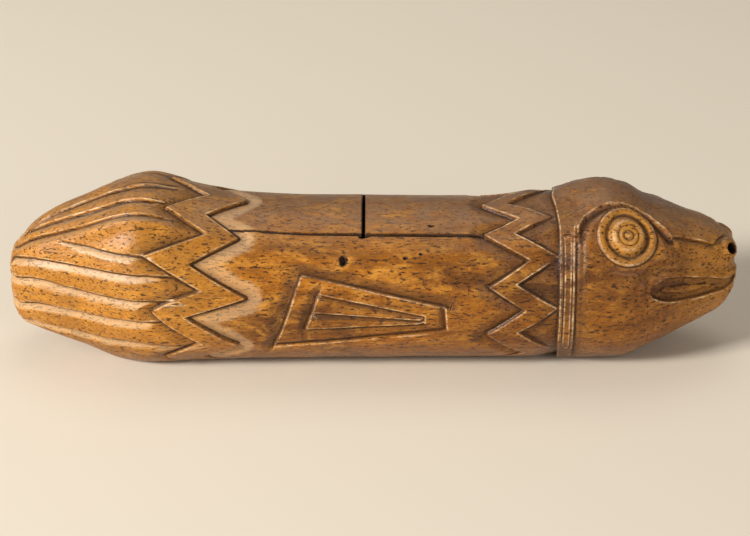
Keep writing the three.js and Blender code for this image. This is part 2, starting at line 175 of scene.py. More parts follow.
@dataclass(frozen=True)
class LogSkin:
    """The smooth outer surface of the log before it is carved."""

    axis_height: float = 63.0
    sections: tuple[Section, ...] = (
        Section(-297, 9, 14, -18, 2.3),
        Section(-294, 19, 27, -31, 2.6),
        Section(-289, 24, 33, -38, 2.7),
        Section(-278, 29, 45, -43, 2.7),
        Section(-260, 36, 58, -50, 2.6),
        Section(-235, 45, 69, -59, 2.5),
        Section(-205, 59, 81, -70, 2.3),
        Section(-182, 67, 86, -72, 2.2),
        Section(-160, 69, 82, -71, 2.1),
        Section(-135, 69, 76, -70, 2.0),
        Section(-100, 68, 70, -69, 2.0),
        Section(-50, 67, 67, -68, 2.0),
        Section(90, 67, 66, -67, 2.0),
        Section(135, 67, 73, -67, 2.0),
        Section(165, 67, 80, -69, 2.0),
        Section(188, 66, 83, -68, 2.1),
        Section(205, 63, 79, -66, 2.2),
        Section(222, 57, 69, -57, 2.3),
        Section(239, 50, 63, -49, 2.4),
        Section(256, 41, 56, -40, 2.5),
        Section(272, 33, 51, -32, 2.6),
        Section(285, 26, 43, -25, 2.6),
        Section(292, 21.5, 38, -16, 2.6),
        Section(295.5, 15.5, 32, -6, 2.5),
        Section(297, 9, 26, 0, 2.3),
    )

    def dimension(self, name: str, x: Array) -> Array:
        """One dimension of the sections, as a smooth function of x.

        Args:
            name: The section's field.
            x: Places along the log.

        Returns:
            Its value at each place.
        """
        places = np.array([section.x for section in self.sections], float)
        values = np.array([getattr(section, name) for section in self.sections], float)
        return monotone_curve(places, values, x)

    def point(self, x: Array, angle: Array) -> Array:
        """Places on the skin as points.

        A section is a superellipse: across and upward are the cosine and sine of the angle,
        each raised to 2 / squareness with its sign kept, times the half width and half height.

        Args:
            x: Places along the log.
            angle: Angles round it in degrees.

        Returns:
            Points, shaped (..., 3), in millimetres.
        """
        x, angle = np.broadcast_arrays(np.asarray(x, float), np.asarray(angle, float))
        turn = np.radians(angle)
        power = 2 / self.dimension("squareness", x)
        top, bottom = self.dimension("top", x), self.dimension("bottom", x)
        middle = (top + bottom) / 2
        across = np.sign(np.cos(turn)) * np.abs(np.cos(turn)) ** power
        upward = np.sign(np.sin(turn)) * np.abs(np.sin(turn)) ** power
        y = -self.dimension("half_width", x) * across
        z = self.axis_height + middle + (top - middle) * upward
        return np.stack([x, y, z], axis=-1)

    def normal(self, x: Array, angle: Array) -> Array:
        """Outward directions of the skin, from differences along and round it.

        Args:
            x: Places along the log.
            angle: Angles round it in degrees.

        Returns:
            Unit directions, shaped (..., 3).
        """
        reach = 0.6
        along = self.point(x + reach, angle) - self.point(x - reach, angle)
        around = self.point(x, angle + reach) - self.point(x, angle - reach)
        normal = np.cross(along, around)
        return normal / np.maximum(np.linalg.norm(normal, axis=-1, keepdims=True), 1e-9)


# ------------------------------------------------------------------ the drawn lines


@dataclass(frozen=True)
class TailLines:
    """Where the rays of the tail are parted, and the zigzag band that ends them."""

    back: tuple[Place, ...] = ((-280, 90), (-213, 89.5), (-193, 88.5), (-177, 89), (-158, 89, 0.3))
    rays: tuple[tuple[Place, ...], ...] = (
        ((-283, 90, 0.7), (-264, 77), (-252, 74.5), (-241, 74), (-219, 73), (-198, 75),
         (-188, 74), (-175, 73), (-165, 74, 0.3)),
        ((-293, 90, 0.8), (-287, 78), (-279, 68), (-268, 61), (-255, 57), (-233, 57), (-210, 60),
         (-196, 61), (-181, 60.5), (-158, 60, 0.4)),
        ((-296, 62), (-291, 59), (-285, 47), (-279, 38), (-268, 30), (-255, 25), (-233, 21),
         (-210, 20), (-188, 19.5), (-162, 22, 0.5), (-150, 23, 0.2)),
        ((-296, 26), (-292, 20), (-283, 14), (-272, 10), (-249, 5), (-227, 3.5), (-211, 4),
         (-189, 4), (-163, 6, 0.5), (-148, 7, 0.2)),
        ((-297, -10), (-293, -9), (-274, -7.5), (-251, -8.5), (-228, -8), (-205, -7),
         (-183, -7), (-170, -7, 0.3)),
        ((-296, -56), (-292, -52), (-284, -42), (-276, -35.5), (-261, -33.5), (-230, -28),
         (-200, -24), (-175, -25), (-153, -28), (-138, -28, 0.3)),
    )
    bulge: tuple[Place, ...] = ((-246, 45, 0.3), (-232, 40), (-217, 35.5), (-202, 33), (-180, 31.5))
    ridge: tuple[Place, ...] = (
        (-250, 47, 0.1), (-232, 49, 0.5), (-216, 51, 0.9), (-203, 55), (-190, 55),
        (-174, 53.5, 0.9), (-159, 53, 0.7), (-138, 53.5, 0.3),
    )
    rear: tuple[Place, ...] = (
        (-163, 110.5), (-131, 90), (-163, 69.5), (-131, 54), (-180, 31.5), (-135, 16), (-175, -1),
        (-137, -26), (-168, -42, 0.7), (-150, -60, 0),
    )
    front: tuple[Place, ...] = (
        (-133, 111), (-102, 90), (-133, 69), (-107, 54), (-146, 32), (-101, 13), (-150, -3),
        (-109, -27), (-140, -46, 0.7), (-120, -62, 0),
    )


@dataclass(frozen=True)
class HeadLines:
    """The zigzag band behind the head, the rim, collar, brow, eye, mouth, nose and cracks."""

    rear: tuple[Place, ...] = (
        (117, 109), (89, 90), (117, 71), (89, 60), (125, 38), (93, 22), (122, 3), (92, -16),
        (124, -43, 0.7), (100, -58, 0),
    )
    front: tuple[Place, ...] = (
        (141, 111), (107, 90), (141, 69), (113, 59), (147, 37.5), (114, 22.5), (147, 1.5),
        (116, -14.5), (150, -44, 0.7), (130, -58, 0),
    )
    rim: tuple[Place, ...] = (
        (143, 108), (144.5, 90), (146.5, 75), (148.5, 57), (148.5, 35), (149, 0), (149.5, -24),
        (151, -45), (153, -75), (153, -105),
    )
    collar_front: tuple[Place, ...] = (
        (160.5, 56, 0.3), (160, 50), (159.5, 30), (160, 0), (161, -30), (161.5, -42),
        (161.5, -52, 0.3),
    )
    collar_panel: tuple[Place, ...] = (
        (151.8, 50), (152.2, 20), (152.6, -10), (153.2, -32), (154.4, -36), (156.2, -37.3),
        (158, -36), (158.4, -32), (157.6, -10), (157.2, 20), (157.4, 50),
    )
    collar_panel_top: float = 50.0
    eye: Place = (203, 48)
    nostril: Place = (290, 54)
    brow: tuple[Place, ...] = (
        (161, 45, 0.2), (162, 50), (163, 56), (168, 62.5), (177, 67.5), (188, 71.5), (200, 74),
        (210, 74), (221, 72.5), (227, 67), (234, 61), (238.5, 53.5, 0.9),
    )
    bridge: tuple[Place, ...] = (
        (238.5, 54.5, 0.5), (249, 56), (261, 54), (274, 50), (276, 56), (279, 66), (283, 76, 0.5),
    )
    lips: tuple[Place, ...] = (
        (300, -10), (297, -14), (291, -12), (282, -9.5), (267, -8), (251, -5), (237, -2), (229, 0),
        (222, 3), (219.5, 7), (221, 11), (225, 14.5), (234, 17.5), (249, 16), (265, 10), (281, 5),
        (290, 3), (297, 2),
    )
    tongue: tuple[Place, ...] = (
        (229.5, 6.5), (231, 8.2), (234, 9), (250, 6.8), (266, 2.4), (286, -2.8), (266, -1.4),
        (250, -0.2), (235, 3), (231, 5),
    )
    cracks: tuple[tuple[Place, ...], ...] = (
        ((152, 55), (160, 52), (170, 49.5), (180, 48), (203, 49), (220, 52), (234, 55)),
        ((154, 65), (162, 68), (170, 71)), ((75, 34), (76.5, 22), (76, 14), (77, 5)),
        ((196, -8), (198.5, -15)), ((198.5, -8.5), (201, -16)), ((201, -9), (203.5, -17)),
        ((203.5, -9.5), (206, -17.5)),
    )


@dataclass(frozen=True)
class FinLines:
    """The fin on each flank: a frame, the field in it, and the wedge in the field."""

    frame_out: tuple[Place, ...] = ((-79, -29), (-56, 30), (58, 7))
    frame_in: tuple[Place, ...] = ((58, 7), (60, -12.5), (-79, -29))
    field_left: tuple[Place, ...] = ((-53, -10), (-42, 17))
    field_in: tuple[Place, ...] = ((-42, 17), (42, 1), (42, -5))
    field_bottom: tuple[Place, ...] = ((42, -5), (-53, -10))
    wedge: tuple[Place, ...] = ((-47.5, 3.6), (39, -2.2, 0.3))


# ------------------------------------------------------------------ carving


class Slope(Enum):
    """On which side of a drawn line's direction a chip cut slopes, seen from outside."""

    LEFT = 1.0
    RIGHT = -1.0


@dataclass(frozen=True)
class ChipCut:
    """A V-shaped cut along a drawn line: a steep wall at the line and a gentle slope beyond.

    Its last field paints light or shade on its slope: how much paler, or if negative darker, the
    slope is made than the wood round it.
    """

    path: tuple[Place, ...]
    depth: float
    wall: float
    slope: float
    side: Slope
    closed: bool = False
    hollow: float = 1.3
    # painted light, or painted shade where negative, on the cut's slope
    tone: float = 0.0

    def profile(self, off: Array, size: Array) -> Array:
        """How deep the cut is at a signed distance from its line.

        The depth rises over the wall as a smooth step, and falls over the slope as (1 − t) to
        the power hollow, so that the slope is slightly dished.

        Args:
            off: Distances to the line, positive on the sloping side.
            size: How large the cut is there, from 0 to 1.

        Returns:
            Depths in millimetres.
        """
        up = np.clip(off / self.wall, 0, 1)
        rise = smooth_step(-0.08, 1.0, up) * (off > 0)
        fall = np.clip(1 - (off - self.wall) / (self.slope * np.maximum(size, LEAST_SIZE)), 0, 1)
        return self.depth * size * np.where(off < self.wall, rise, fall**self.hollow)


@dataclass
class Tracer:
    """Measures distances on the skin from drawn lines, for a whole grid at once."""

    skin: LogSkin
    points: Array
    normals: Array
    step: float = 5.0
    tie: float = 1e-4

    def fine_path(self, path: tuple[Place, ...], closed: bool) -> tuple[Array, Array]:
        """A drawn line with points no further apart than step.

        Args:
            path: The drawn line.
            closed: Whether its end joins its start.

        Returns:
            Points in millimetres, and the line's size at each.
        """
        rows = [(*place, 1.0)[:3] for place in path]
        ends = np.array(rows + rows[:1] if closed else rows, float)
        corners = self.skin.point(ends[:, 0], ends[:, 1])
        lengths = np.linalg.norm(np.diff(corners, axis=0), axis=1)
        counts = np.maximum(1, np.ceil(lengths / self.step)).astype(int)
        knots = np.concatenate(
            [i + np.arange(count) / count for i, count in enumerate(counts)] + [[len(counts)]]
        )
        along = np.arange(len(ends))
        x, angle, size = (np.interp(knots, along, ends[:, k]) for k in range(3))
        return self.skin.point(x, angle), size

    def distance(self, path: tuple[Place, ...], closed: bool, reach: float) -> tuple[Array, Array]:
        """Signed distances from a drawn line, and the line's size at its nearest point.

        The distance is to the nearest straight piece of the line. Its sign is that of the
        offset measured towards the left of the piece, which is the skin's normal crossed with
        the line's direction. Where two pieces are as near, at a corner, the one that the point
        leans further from gives the sign.

        Args:
            path: The drawn line.
            closed: Whether its end joins its start.
            reach: Points further than this from the line are left at reach.

        Returns:
            Distances, positive to the left, and sizes.
        """
        nodes, sizes = self.fine_path(path, closed)
        signed = np.full(len(self.points), reach)
        scale = np.zeros(len(self.points))
        low, high = nodes.min(axis=0) - reach, nodes.max(axis=0) + reach
        near = np.all((self.points > low) & (self.points < high), axis=1).nonzero()[0]
        points, normals = self.points[near], self.normals[near]
        best = np.full(len(near), reach)
        side = np.ones(len(near))
        lean = np.zeros(len(near))
        size = np.zeros(len(near))
        for start, end, size_a, size_b in zip(nodes[:-1], nodes[1:], sizes[:-1], sizes[1:]):
            along = end - start
            length = max(float(np.linalg.norm(along)), 1e-6)
            offset = points - start
            t = np.clip(offset @ along / length**2, 0, 1)
            far = np.linalg.norm(offset - t[:, None] * along, axis=1)
            left = np.sum(np.cross(normals, along / length) * offset, axis=1)
            same = np.abs(far - best) < self.tie
            nearer = (far < best - self.tie) | (same & (np.abs(left) > np.abs(lean)))
            best = np.where(nearer, far, best)
            lean = np.where(nearer, left, lean)
            side = np.where(nearer, np.where(left >= 0, 1.0, -1.0), side)
            size = np.where(nearer, size_a + (size_b - size_a) * t, size)
        signed[near], scale[near] = best * side, size
        return signed, scale

    def cut_depth(self, cut: ChipCut) -> tuple[Array, Array, Array]:
        """A chip cut at every point of the grid.

        The distance into the cut is stretched so that every wall is equally wide, and is left
        unmarked where the cut has shrunk below a quarter of its size.

        Args:
            cut: The chip cut.

        Returns:
            Its depth, the distance into it from its steep edge, and the painted light or shade on
            its slope.
        """
        reach = cut.wall + cut.slope + 3
        off, size = self.distance(cut.path, cut.closed, reach)
        inward = off * cut.side.value
        end = cut.wall + cut.slope * np.maximum(size, LEAST_SIZE)
        before_end = 1 - smooth_step(-0.6, 0.3, inward - end)
        slope = smooth_step(0.0, 0.8, inward - cut.wall) * before_end
        line = np.where(inward > 0, inward * WALL_SPAN / cut.wall, inward)
        return cut.profile(inward, size), np.where(size > 0.25, line, UNMARKED), slope * cut.tone

    def ring_distance(self, centre: Place) -> Array:
        """Distances from a place on the skin, straight through the wood."""
        middle = self.skin.point(np.array(centre[0]), np.array(centre[1]))
        return np.linalg.norm(self.points - middle, axis=1)


@dataclass(frozen=True)
class EyeProfile:
    """The turned rings of an eye: depth below the skin at each radius, in millimetres.

    Inside ruled the rings alone give the depth. Inside bare_line no other cut marks the wood, and
    inside bare_tone no cut's painted slope light or shade is laid.
    """

    rings: Profile = (
        (0, -0.5), (2.6, -0.2), (3.6, 0.9), (4.6, 0.9), (5.6, 0.3), (7.4, 0.1), (8.3, 0.8),
        (9.0, 0.9), (9.9, 0.1), (11.5, -0.3), (13.3, -0.1), (14.6, 1.8), (17.0, 3.1),
        (19.0, 2.9), (20.8, 0.9), (22.0, 0.2), (24.2, 0.1), (25.6, 1.3), (27.0, 1.6), (32.0, 0.0),
    )
    ruled: float = 25.5
    bare_line: float = 27.0
    bare_tone: float = 26.0


@dataclass(frozen=True)
class MouthProfile:
    """Depths against the distance from the lips, or inward from the tongue's line.

    The mouth's axis is a straight line over (x, angle) that parts what lies above the lip
    from what lies behind and below it.
    """

    above_lip: Profile = ((0.0, -1.2), (1.5, -0.6), (3.5, 1.7), (9.0, 1.6), (15.0, 0.0))
    below_lip: Profile = (
        (0.0, -1.2), (1.4, -0.8), (2.4, -0.1), (5.0, -0.9), (8.0, -0.5), (10.0, 0.7), (15.0, 0.0),
    )
    trough: Profile = ((0.0, -1.2), (1.3, -0.6), (3.6, 2.6), (5.0, 3.0), (9.0, 3.0))
    tongue: Profile = ((0.0, 2.9), (1.0, 1.6), (2.0, 0.6), (3.2, -0.2))
    reach: float = 24.0
    fade: tuple[float, float] = (13.0, 20.0)
    axis_x: float = 220.0
    axis_angle: float = 7.0
    axis_fall: float = 0.155
    above_axis: tuple[float, float] = (2.0, 10.0)
    trough_edge: float = 1.1
    tongue_edge: float = 2.4
    tongue_rim: float = 1.6


@dataclass(frozen=True)
class Ridge:
    """A rounded ridge along a drawn line, and how far it spreads to the left and right."""

    path: tuple[Place, ...]
    height: float
    left: float
    right: float


@dataclass
class Carving:
    """All the relief of the drum as one depth below the skin, with the distances and the painted
    light and shade of the slopes that dress it.
    """

    skin: LogSkin
    tail: TailLines = field(default_factory=TailLines)
    head: HeadLines = field(default_factory=HeadLines)
    fin: FinLines = field(default_factory=FinLines)
    eye: EyeProfile = field(default_factory=EyeProfile)
    lips: MouthProfile = field(default_factory=MouthProfile)

    def cuts(self) -> list[ChipCut]:
        """Every chip cut of one flank and the back.

        Returns:
            The cuts, in no set order.
        """
        # the last number of each cut paints light (positive) or shade (negative) on its slope
        ray = dict(depth=3.0, wall=1.5, side=Slope.RIGHT, hollow=1.05)
        cuts = [ChipCut(path, slope=6.6, tone=0.55, **ray) for path in self.tail.rays[2:]]
        cuts += [ChipCut(path, slope=6.0, tone=0.2, **ray) for path in self.tail.rays[:2]]
        cuts.append(ChipCut(self.tail.bulge, 3.0, 1.6, 6.0, Slope.RIGHT, tone=0.7))
        cuts.append(ChipCut(self.tail.back, 3.0, 1.8, 6.0, Slope.RIGHT))
        notch_sizes = (1.0, 1.0, 0.6, 0.1)
        for path in self.tail.rays[1:]:
            notch = tuple((x, angle, size) for (x, angle, *_), size in zip(path, notch_sizes))
            cuts.append(ChipCut(notch, 2.8, 0.4, 4.5, Slope.LEFT, hollow=1.0))
        band = dict(depth=3.3, wall=1.7)
        cuts.append(ChipCut(self.tail.rear, slope=11.0, side=Slope.RIGHT, tone=-0.25, **band))
        cuts.append(ChipCut(self.tail.front, slope=12.0, side=Slope.LEFT, tone=0.4, **band))
        cuts.append(ChipCut(self.head.rear, slope=10.0, side=Slope.RIGHT, tone=-0.3, **band))
        ground = dict(side=Slope.LEFT, hollow=0.9, tone=-0.4)
        cuts.append(ChipCut(self.head.front, 3.3, 1.7, 22.0, **ground))
        cuts.append(ChipCut(self.head.rim, 4.0, 1.4, 20.0, Slope.RIGHT))
        cuts.append(ChipCut(self.head.collar_front, 2.2, 1.5, 8.0, Slope.LEFT, tone=-0.5))
        cuts.append(ChipCut(self.head.brow, 3.0, 4.0, 9.0, Slope.RIGHT, hollow=1.2))
        cuts.append(ChipCut(self.head.bridge, 2.2, 1.5, 5.0, Slope.RIGHT, hollow=1.2))
        fin = self.fin
        fin_cut = dict(hollow=1.1, tone=-0.6)
        cuts.append(ChipCut(fin.frame_out, 3.0, 1.7, 8.5, Slope.LEFT, **fin_cut))
        cuts.append(ChipCut(fin.frame_in, 2.4, 1.6, 4.6, Slope.RIGHT, **fin_cut))
        cuts.append(ChipCut(fin.field_left, 2.6, 1.6, 6.0, Slope.LEFT, **fin_cut))
        cuts.append(ChipCut(fin.field_in, 2.0, 1.5, 3.5, Slope.RIGHT, **fin_cut))
        cuts.append(ChipCut(fin.field_bottom, 2.2, 1.6, 4.0, Slope.LEFT, **fin_cut))
        cuts.append(ChipCut(fin.wedge, 2.8, 1.5, 4.6, Slope.RIGHT, hollow=0.9, tone=-0.9))
        return cuts

    def mouth(self, tracer: Tracer, x: Array, angle: Array) -> tuple[Array, Array, Array]:
        """The depth of the mouth: a ridge of lip, a trough inside it and the tongue.

        The depth is read off a profile over the distance from the lips, inward or outward.
        Above the mouth the skin outside the lip is hollowed, and behind and below it the skin
        swells. Inside the tongue's line the depth rises again towards a ridge.

        Args:
            tracer: The grid's points.
            x: Places along the log.
            angle: Angles folded to the near flank.

        Returns:
            Depths, how far the mouth rules at each point, from 0 to 1, and the distances into
            the trough from its edge.
        """
        lips = self.lips
        off, _ = tracer.distance(self.head.lips, True, lips.reach)
        axis = lips.axis_angle - (x - lips.axis_x) * lips.axis_fall
        above = smooth_step(*lips.above_axis, angle - axis)
        hollowed = read_profile(lips.above_lip, off) * above
        outside = hollowed + read_profile(lips.below_lip, off) * (1 - above)
        depth = np.where(off >= 0, outside, read_profile(lips.trough, -off))
        tongue, _ = tracer.distance(self.head.tongue, True, lips.reach)
        raised = read_profile(lips.tongue, -tongue)
        depth = np.where((off < 0) & (tongue < 0), np.minimum(depth, raised), depth)
        inward = -off - lips.trough_edge
        beside_tongue = np.abs(-tongue - lips.tongue_edge)
        line = np.where(np.abs(inward) < beside_tongue, inward, UNMARKED)
        line = np.where((tongue < 0) & (tongue > -lips.tongue_rim), WALL_SPAN, line)
        return depth, 1 - smooth_step(*lips.fade, off), line

    def ridges(self, tracer: Tracer) -> Array:
        """Forms that stand above the skin: rounded ridges, and the lump round a nostril.

        The height falls from a ridge's line as a bell curve over the ridge's spread.

        Args:
            tracer: The grid's points.

        Returns:
            Heights above the skin in millimetres.
        """
        rows = (
            Ridge(self.tail.ridge, 3.6, 6.0, 6.0),
            Ridge(self.head.brow, 0.8, 3.0, 1.2),
            Ridge(self.head.bridge, 0.7, 2.4, 1.4),
            Ridge(self.head.collar_front, 0.4, 1.0, 1.2),
        )
        total = np.zeros(len(tracer.points))
        for ridge in rows:
            off, size = tracer.distance(ridge.path, False, 20.0)
            spread = np.where(off > 0, ridge.left, ridge.right)
            total = np.maximum(total, ridge.height * size * np.exp(-((off / spread) ** 2)))
        lump_height, lump_top, lump_foot = 1.8, 6.0, 10.5
        lump = tracer.ring_distance(self.head.nostril)
        return np.maximum(total, lump_height * (1 - smooth_step(lump_top, lump_foot, lump)))

    def relief(self, x: Array, angle: Array, points: Array, normals: Array) -> dict[str, Array]:
        """The carved surface's depth below the skin, and the distances that dress it.

        Cuts are combined by taking the deepest, as one chip takes away another's edge.

        Args:
            x: Places along the log, one for each grid point.
            angle: Angles folded to the near flank, from −90 to 90.
            points: The grid on the near flank's skin.
            normals: Its outward directions.

        Returns:
            depth, positive into the wood; line, the distance into the nearest cut from its
            steep edge; ring, the distance from the eye's middle; crack, the distance from the
            nearest crack, all in millimetres; and tone, the painted light or, if negative, painted
            shade on the slopes.
        """
        tracer = Tracer(self.skin, points, normals)
        total = np.zeros(len(points))
        line = np.full(len(points), UNMARKED)
        tone = np.zeros(len(points))
        for cut in self.cuts():
            depth, inward, shade = tracer.cut_depth(cut)
            tone = np.where(depth > total, shade, tone)
            total = np.maximum(total, depth)
            line = np.where(np.abs(inward) < np.abs(line), inward, line)
        panel_depth, panel_wall = 1.2, 1.4
        panel, _ = tracer.distance(self.head.collar_panel, True, 10.0)
        panel = np.where(angle < self.head.collar_panel_top, -panel, -UNMARKED)
        total = np.maximum(total, panel_depth * smooth_step(0.0, panel_wall, panel))
        line = np.where(np.abs(panel) < np.abs(line), panel, line)
        radius = tracer.ring_distance(self.head.eye)
        eye = read_profile(self.eye.rings, radius)
        total = np.where(radius < self.eye.ruled, eye, np.maximum(total, eye))
        line = np.where(radius < self.eye.bare_line, UNMARKED, line)
        mouth, rules, lip = self.mouth(tracer, x, angle)
        total = np.maximum(total, 0) * (1 - rules) + mouth * rules
        line = np.where(np.abs(lip) < np.abs(line), lip, line)
        crack = np.full(len(points), UNMARKED)
        for path in self.head.cracks:
            off, _ = tracer.distance(path, False, UNMARKED)
            crack = np.minimum(crack, np.abs(off))
        # no painted slope light or shade in the mouth or round the eye
        tone = tone * (1 - rules) * (radius > self.eye.bare_tone)
        depth = total - self.ridges(tracer)
        return {"depth": depth, "line": line, "ring": radius, "crack": crack, "tone": tone}


# ------------------------------------------------------------------ the grid over the skin


@dataclass(frozen=True)
class GridPlan:
    """How rows and columns of the carved surface are spread, to be finest at the carving.

    Each guide is a line of columns, given as (x, angle) pairs, that follows the carved lines
    on the near flank. The counts are the columns between one guide and the next.
    """

    guides: tuple[tuple[Place, ...], ...] = (
        ((-297, -90), (297, -90)),
        ((-297, -66), (-160, -60), (160, -60), (297, -66)),
        ((-297, -56), (-276, -35.5), (-230, -28), (-165, -26), (-105, -27), (-79, -29),
         (60, -12.5), (75, -43), (150, -43), (175, -22), (220, -4), (237, -5), (267, -11),
         (297, -24)),
        ((-297, -10), (-244, -9), (-178, -7), (-160, -12), (-105, -12), (-53, -10), (42, -5),
         (60, -6), (75, -15), (147, -15), (175, -6), (220, 3), (237, -1), (256, -5), (289, -10),
         (297, -13)),
        ((-297, 22), (-272, 10), (-244, 4.5), (-185, 4), (-170, -1), (-105, -1), (-47, 3.6),
         (39, -2.2), (60, -2), (75, 2), (147, 2), (175, 4), (220, 7), (250, 3), (289, -4),
         (297, -5)),
        ((-297, 60), (-279, 38), (-255, 25), (-233, 21), (-188, 19), (-165, 16), (-105, 14),
         (-42, 17), (42, 1), (60, 2), (75, 22), (147, 22), (175, 18), (221, 12), (236, 17.5),
         (250, 16), (270, 9), (297, 2)),
        ((-297, 66), (-276, 50), (-246, 44), (-219, 36), (-180, 32), (-105, 32), (-56, 30),
         (60, 7), (75, 38), (147, 38), (168, 30), (203, 26), (230, 30), (270, 28), (297, 22)),
        ((-297, 78), (-279, 66), (-255, 57), (-233, 56), (-210, 57), (-175, 54), (-105, 54),
         (-60, 50), (50, 46), (75, 59), (147, 58), (168, 50), (203, 48), (250, 46), (297, 44)),
        ((-297, 86), (-283, 82), (-255, 74), (-241, 73), (-190, 74), (-171, 70), (-105, 69),
         (-60, 59.5), (60, 59.5), (75, 70), (147, 70), (165, 64), (180, 71), (203, 75), (222, 72),
         (240, 57), (272, 52), (297, 60)),
        ((-297, 90), (297, 90)),
    )
    counts: tuple[int, ...] = (7, 11, 15, 13, 13, 15, 17, 17, 13)
    far_share: float = 0.55

    def row_lines(self, tail: TailLines, head: HeadLines) -> list[tuple[int, tuple, tuple]]:
        """Stretches of rows, from the tail's tip to the snout.

        Args:
            tail: The tail's drawn lines.
            head: The head's drawn lines.

        Returns:
            For each stretch its number of rows, and the lines that they run between.
        """

        def level(x: float) -> tuple[Place, ...]:
            """A line straight round the log."""
            return ((x, 90), (x, -90))

        def moved(path: tuple[Place, ...], by: float) -> tuple[Place, ...]:
            """A drawn line moved along the log."""
            return tuple((place[0] + by, place[1]) for place in path)

        fin_left = ((-56, 90), (-56, 30), (-79, -29), (-84, -90))
        field_left = ((-42, 90), (-42, 17), (-53, -10), (-56, -90))
        stops = (
            (level(-297), 14), (level(-286), 36), (moved(tail.rear, -15), 14), (tail.rear, 25),
            (tail.front, 14), (moved(tail.front, 15), 10), (fin_left, 19), (field_left, 42),
            (level(42), 14), (level(59), 8), (level(75), 8), (moved(head.rear, -11), 12),
            (head.rear, 21), (moved(head.front, -0.6), 20), (moved(head.rim, -2.2), 7),
            (moved(head.rim, 2), 9), (moved(head.rim, 9), 10), (level(165), 11),
            (level(176), 56), (level(230), 48), (level(284), 18),
        )
        lines = [line for line, _ in stops] + [level(297)]
        return [(stops[i][1], lines[i], lines[i + 1]) for i in range(len(stops))]

    def column_angles(self, x: float) -> Array:
        """Angles of every column at a place along the log.

        Between two guides the columns are spread so that they crowd at the guides.

        Args:
            x: The place along the log.

        Returns:
            Angles from −90 up over the back to 270.
        """
        marks = [
            float(np.interp(x, [place[0] for place in guide], [place[1] for place in guide]))
            for guide in self.guides
        ]

        def between(low: float, high: float, count: int) -> Array:
            """Columns from one guide up to the next, without the last."""
            return low + (high - low) * crowded(np.arange(count) / count)

        near = [between(a, b, n) for a, b, n in zip(marks[:-1], marks[1:], self.counts)]
        fewer = [max(3, round(n * self.far_share)) for n in self.counts]
        back = [180 - mark for mark in marks]
        back = back[::-1]
        far = [between(a, b, n) for a, b, n in zip(back[:-1], back[1:], fewer[::-1])]
        return np.concatenate(near + far)

    def grid(self, tail: TailLines, head: HeadLines) -> tuple[Array, Array]:
        """Places of every row and column.

        A row lies between two lines, at a share of the way that crowds where the lines run.
        Its x and its angles depend on each other, and are worked out in three rounds.

        Args:
            tail: The tail's drawn lines.
            head: The head's drawn lines.

        Returns:
            x and angle, each shaped (rows, columns).
        """

        def x_on(line: tuple[Place, ...], angle: Array) -> Array:
            """Where a line lies along the log at each angle."""
            folded = np.where(angle > 90, 180 - angle, angle)
            order = sorted((place[1], place[0]) for place in line)
            return np.interp(folded, [a for a, _ in order], [x for _, x in order])

        places = np.array(sorted({float(place[0]) for guide in self.guides for place in guide}))
        table = np.array([self.column_angles(place) for place in places])
        column = np.arange(table.shape[1])

        def angles_along(x: Array) -> Array:
            """The angle of each column at its own place along the log."""
            i = np.clip(np.searchsorted(places, x) - 1, 0, len(places) - 2)
            t = np.clip((x - places[i]) / (places[i + 1] - places[i]), 0, 1)
            return table[i, column] * (1 - t) + table[i + 1, column] * t

        all_x, all_angle = [], []
        stretches = self.row_lines(tail, head)
        for i, (count, low, high) in enumerate(stretches):
            last = 1 if i == len(stretches) - 1 else 0
            from_x, to_x = (np.mean([place[0] for place in line]) for line in (low, high))
            for share in crowded(np.arange(count + last) / count):
                x = np.full(len(column), from_x + (to_x - from_x) * share)
                for _ in range(3):
                    angle = angles_along(x)
                    x = x_on(low, angle) * (1 - share) + x_on(high, angle) * share
                all_x.append(x)
                all_angle.append(angle)
        return np.array(all_x), np.array(all_angle)


# ------------------------------------------------------------------ meshes


def make_object(name: str, points: Array, faces: list) -> bpy.types.Object:
    """A mesh object from points in millimetres and faces.

    Args:
        name: Name of the object.
        points: Its vertices.
        faces: Vertex numbers of each face.

    Returns:
        The object, linked to the scene.
    """
    mesh = bpy.data.meshes.new(name)
    mesh.from_pydata((np.asarray(points) * MM).tolist(), [], faces)
    mesh.validate()
    mesh.update()
    made = bpy.data.objects.new(name, mesh)
    bpy.context.scene.collection.objects.link(made)
    return made


def tube_faces(rows: int, columns: int) -> Array:
    """Quads between neighbouring rings, wound so that they face outwards.

    Args:
        rows: How many rings.
        columns: How many points a ring has.

    Returns:
        Vertex numbers, shaped (faces, 4).
    """
    row, column = np.meshgrid(np.arange(rows - 1), np.arange(columns), indexing="ij")
    beside = (column + 1) % columns
    corners = [
        row * columns + column,
        (row + 1) * columns + column,
        (row + 1) * columns + beside,
        row * columns + beside,
    ]
    return np.stack(corners, axis=-1).reshape(-1, 4)


def closed_tube(name: str, rings: Array) -> bpy.types.Object:
    """A closed body over rings of points, with a pole at the middle of each end ring.

    Args:
        name: Name of the object.
        rings: Points shaped (rows, columns, 3), in millimetres, turning from −Y up over +Z.

    Returns:
        The object.
    """
    rows, columns, _ = rings.shape
    poles = np.stack([rings[0].mean(axis=0), rings[-1].mean(axis=0)])
    points = np.concatenate([rings.reshape(-1, 3), poles])
    start, end = rows * columns, rows * columns + 1
    ring = np.arange(columns)
    beside = (ring + 1) % columns
    last = (rows - 1) * columns
    faces = tube_faces(rows, columns).tolist()
    faces += np.stack([np.full(columns, start), ring, beside], axis=1).tolist()
    faces += np.stack([np.full(columns, end), last + beside, last + ring], axis=1).tolist()
    return make_object(name, points, faces)


def set_attribute(mesh: bpy.types.Mesh, name: str, values: Array) -> None:
    """Stores one number for each vertex."""
    layer = mesh.attributes.new(name, "FLOAT", "POINT")
    layer.data.foreach_set("value", np.asarray(values, np.float32))


# ------------------------------------------------------------------ the drum


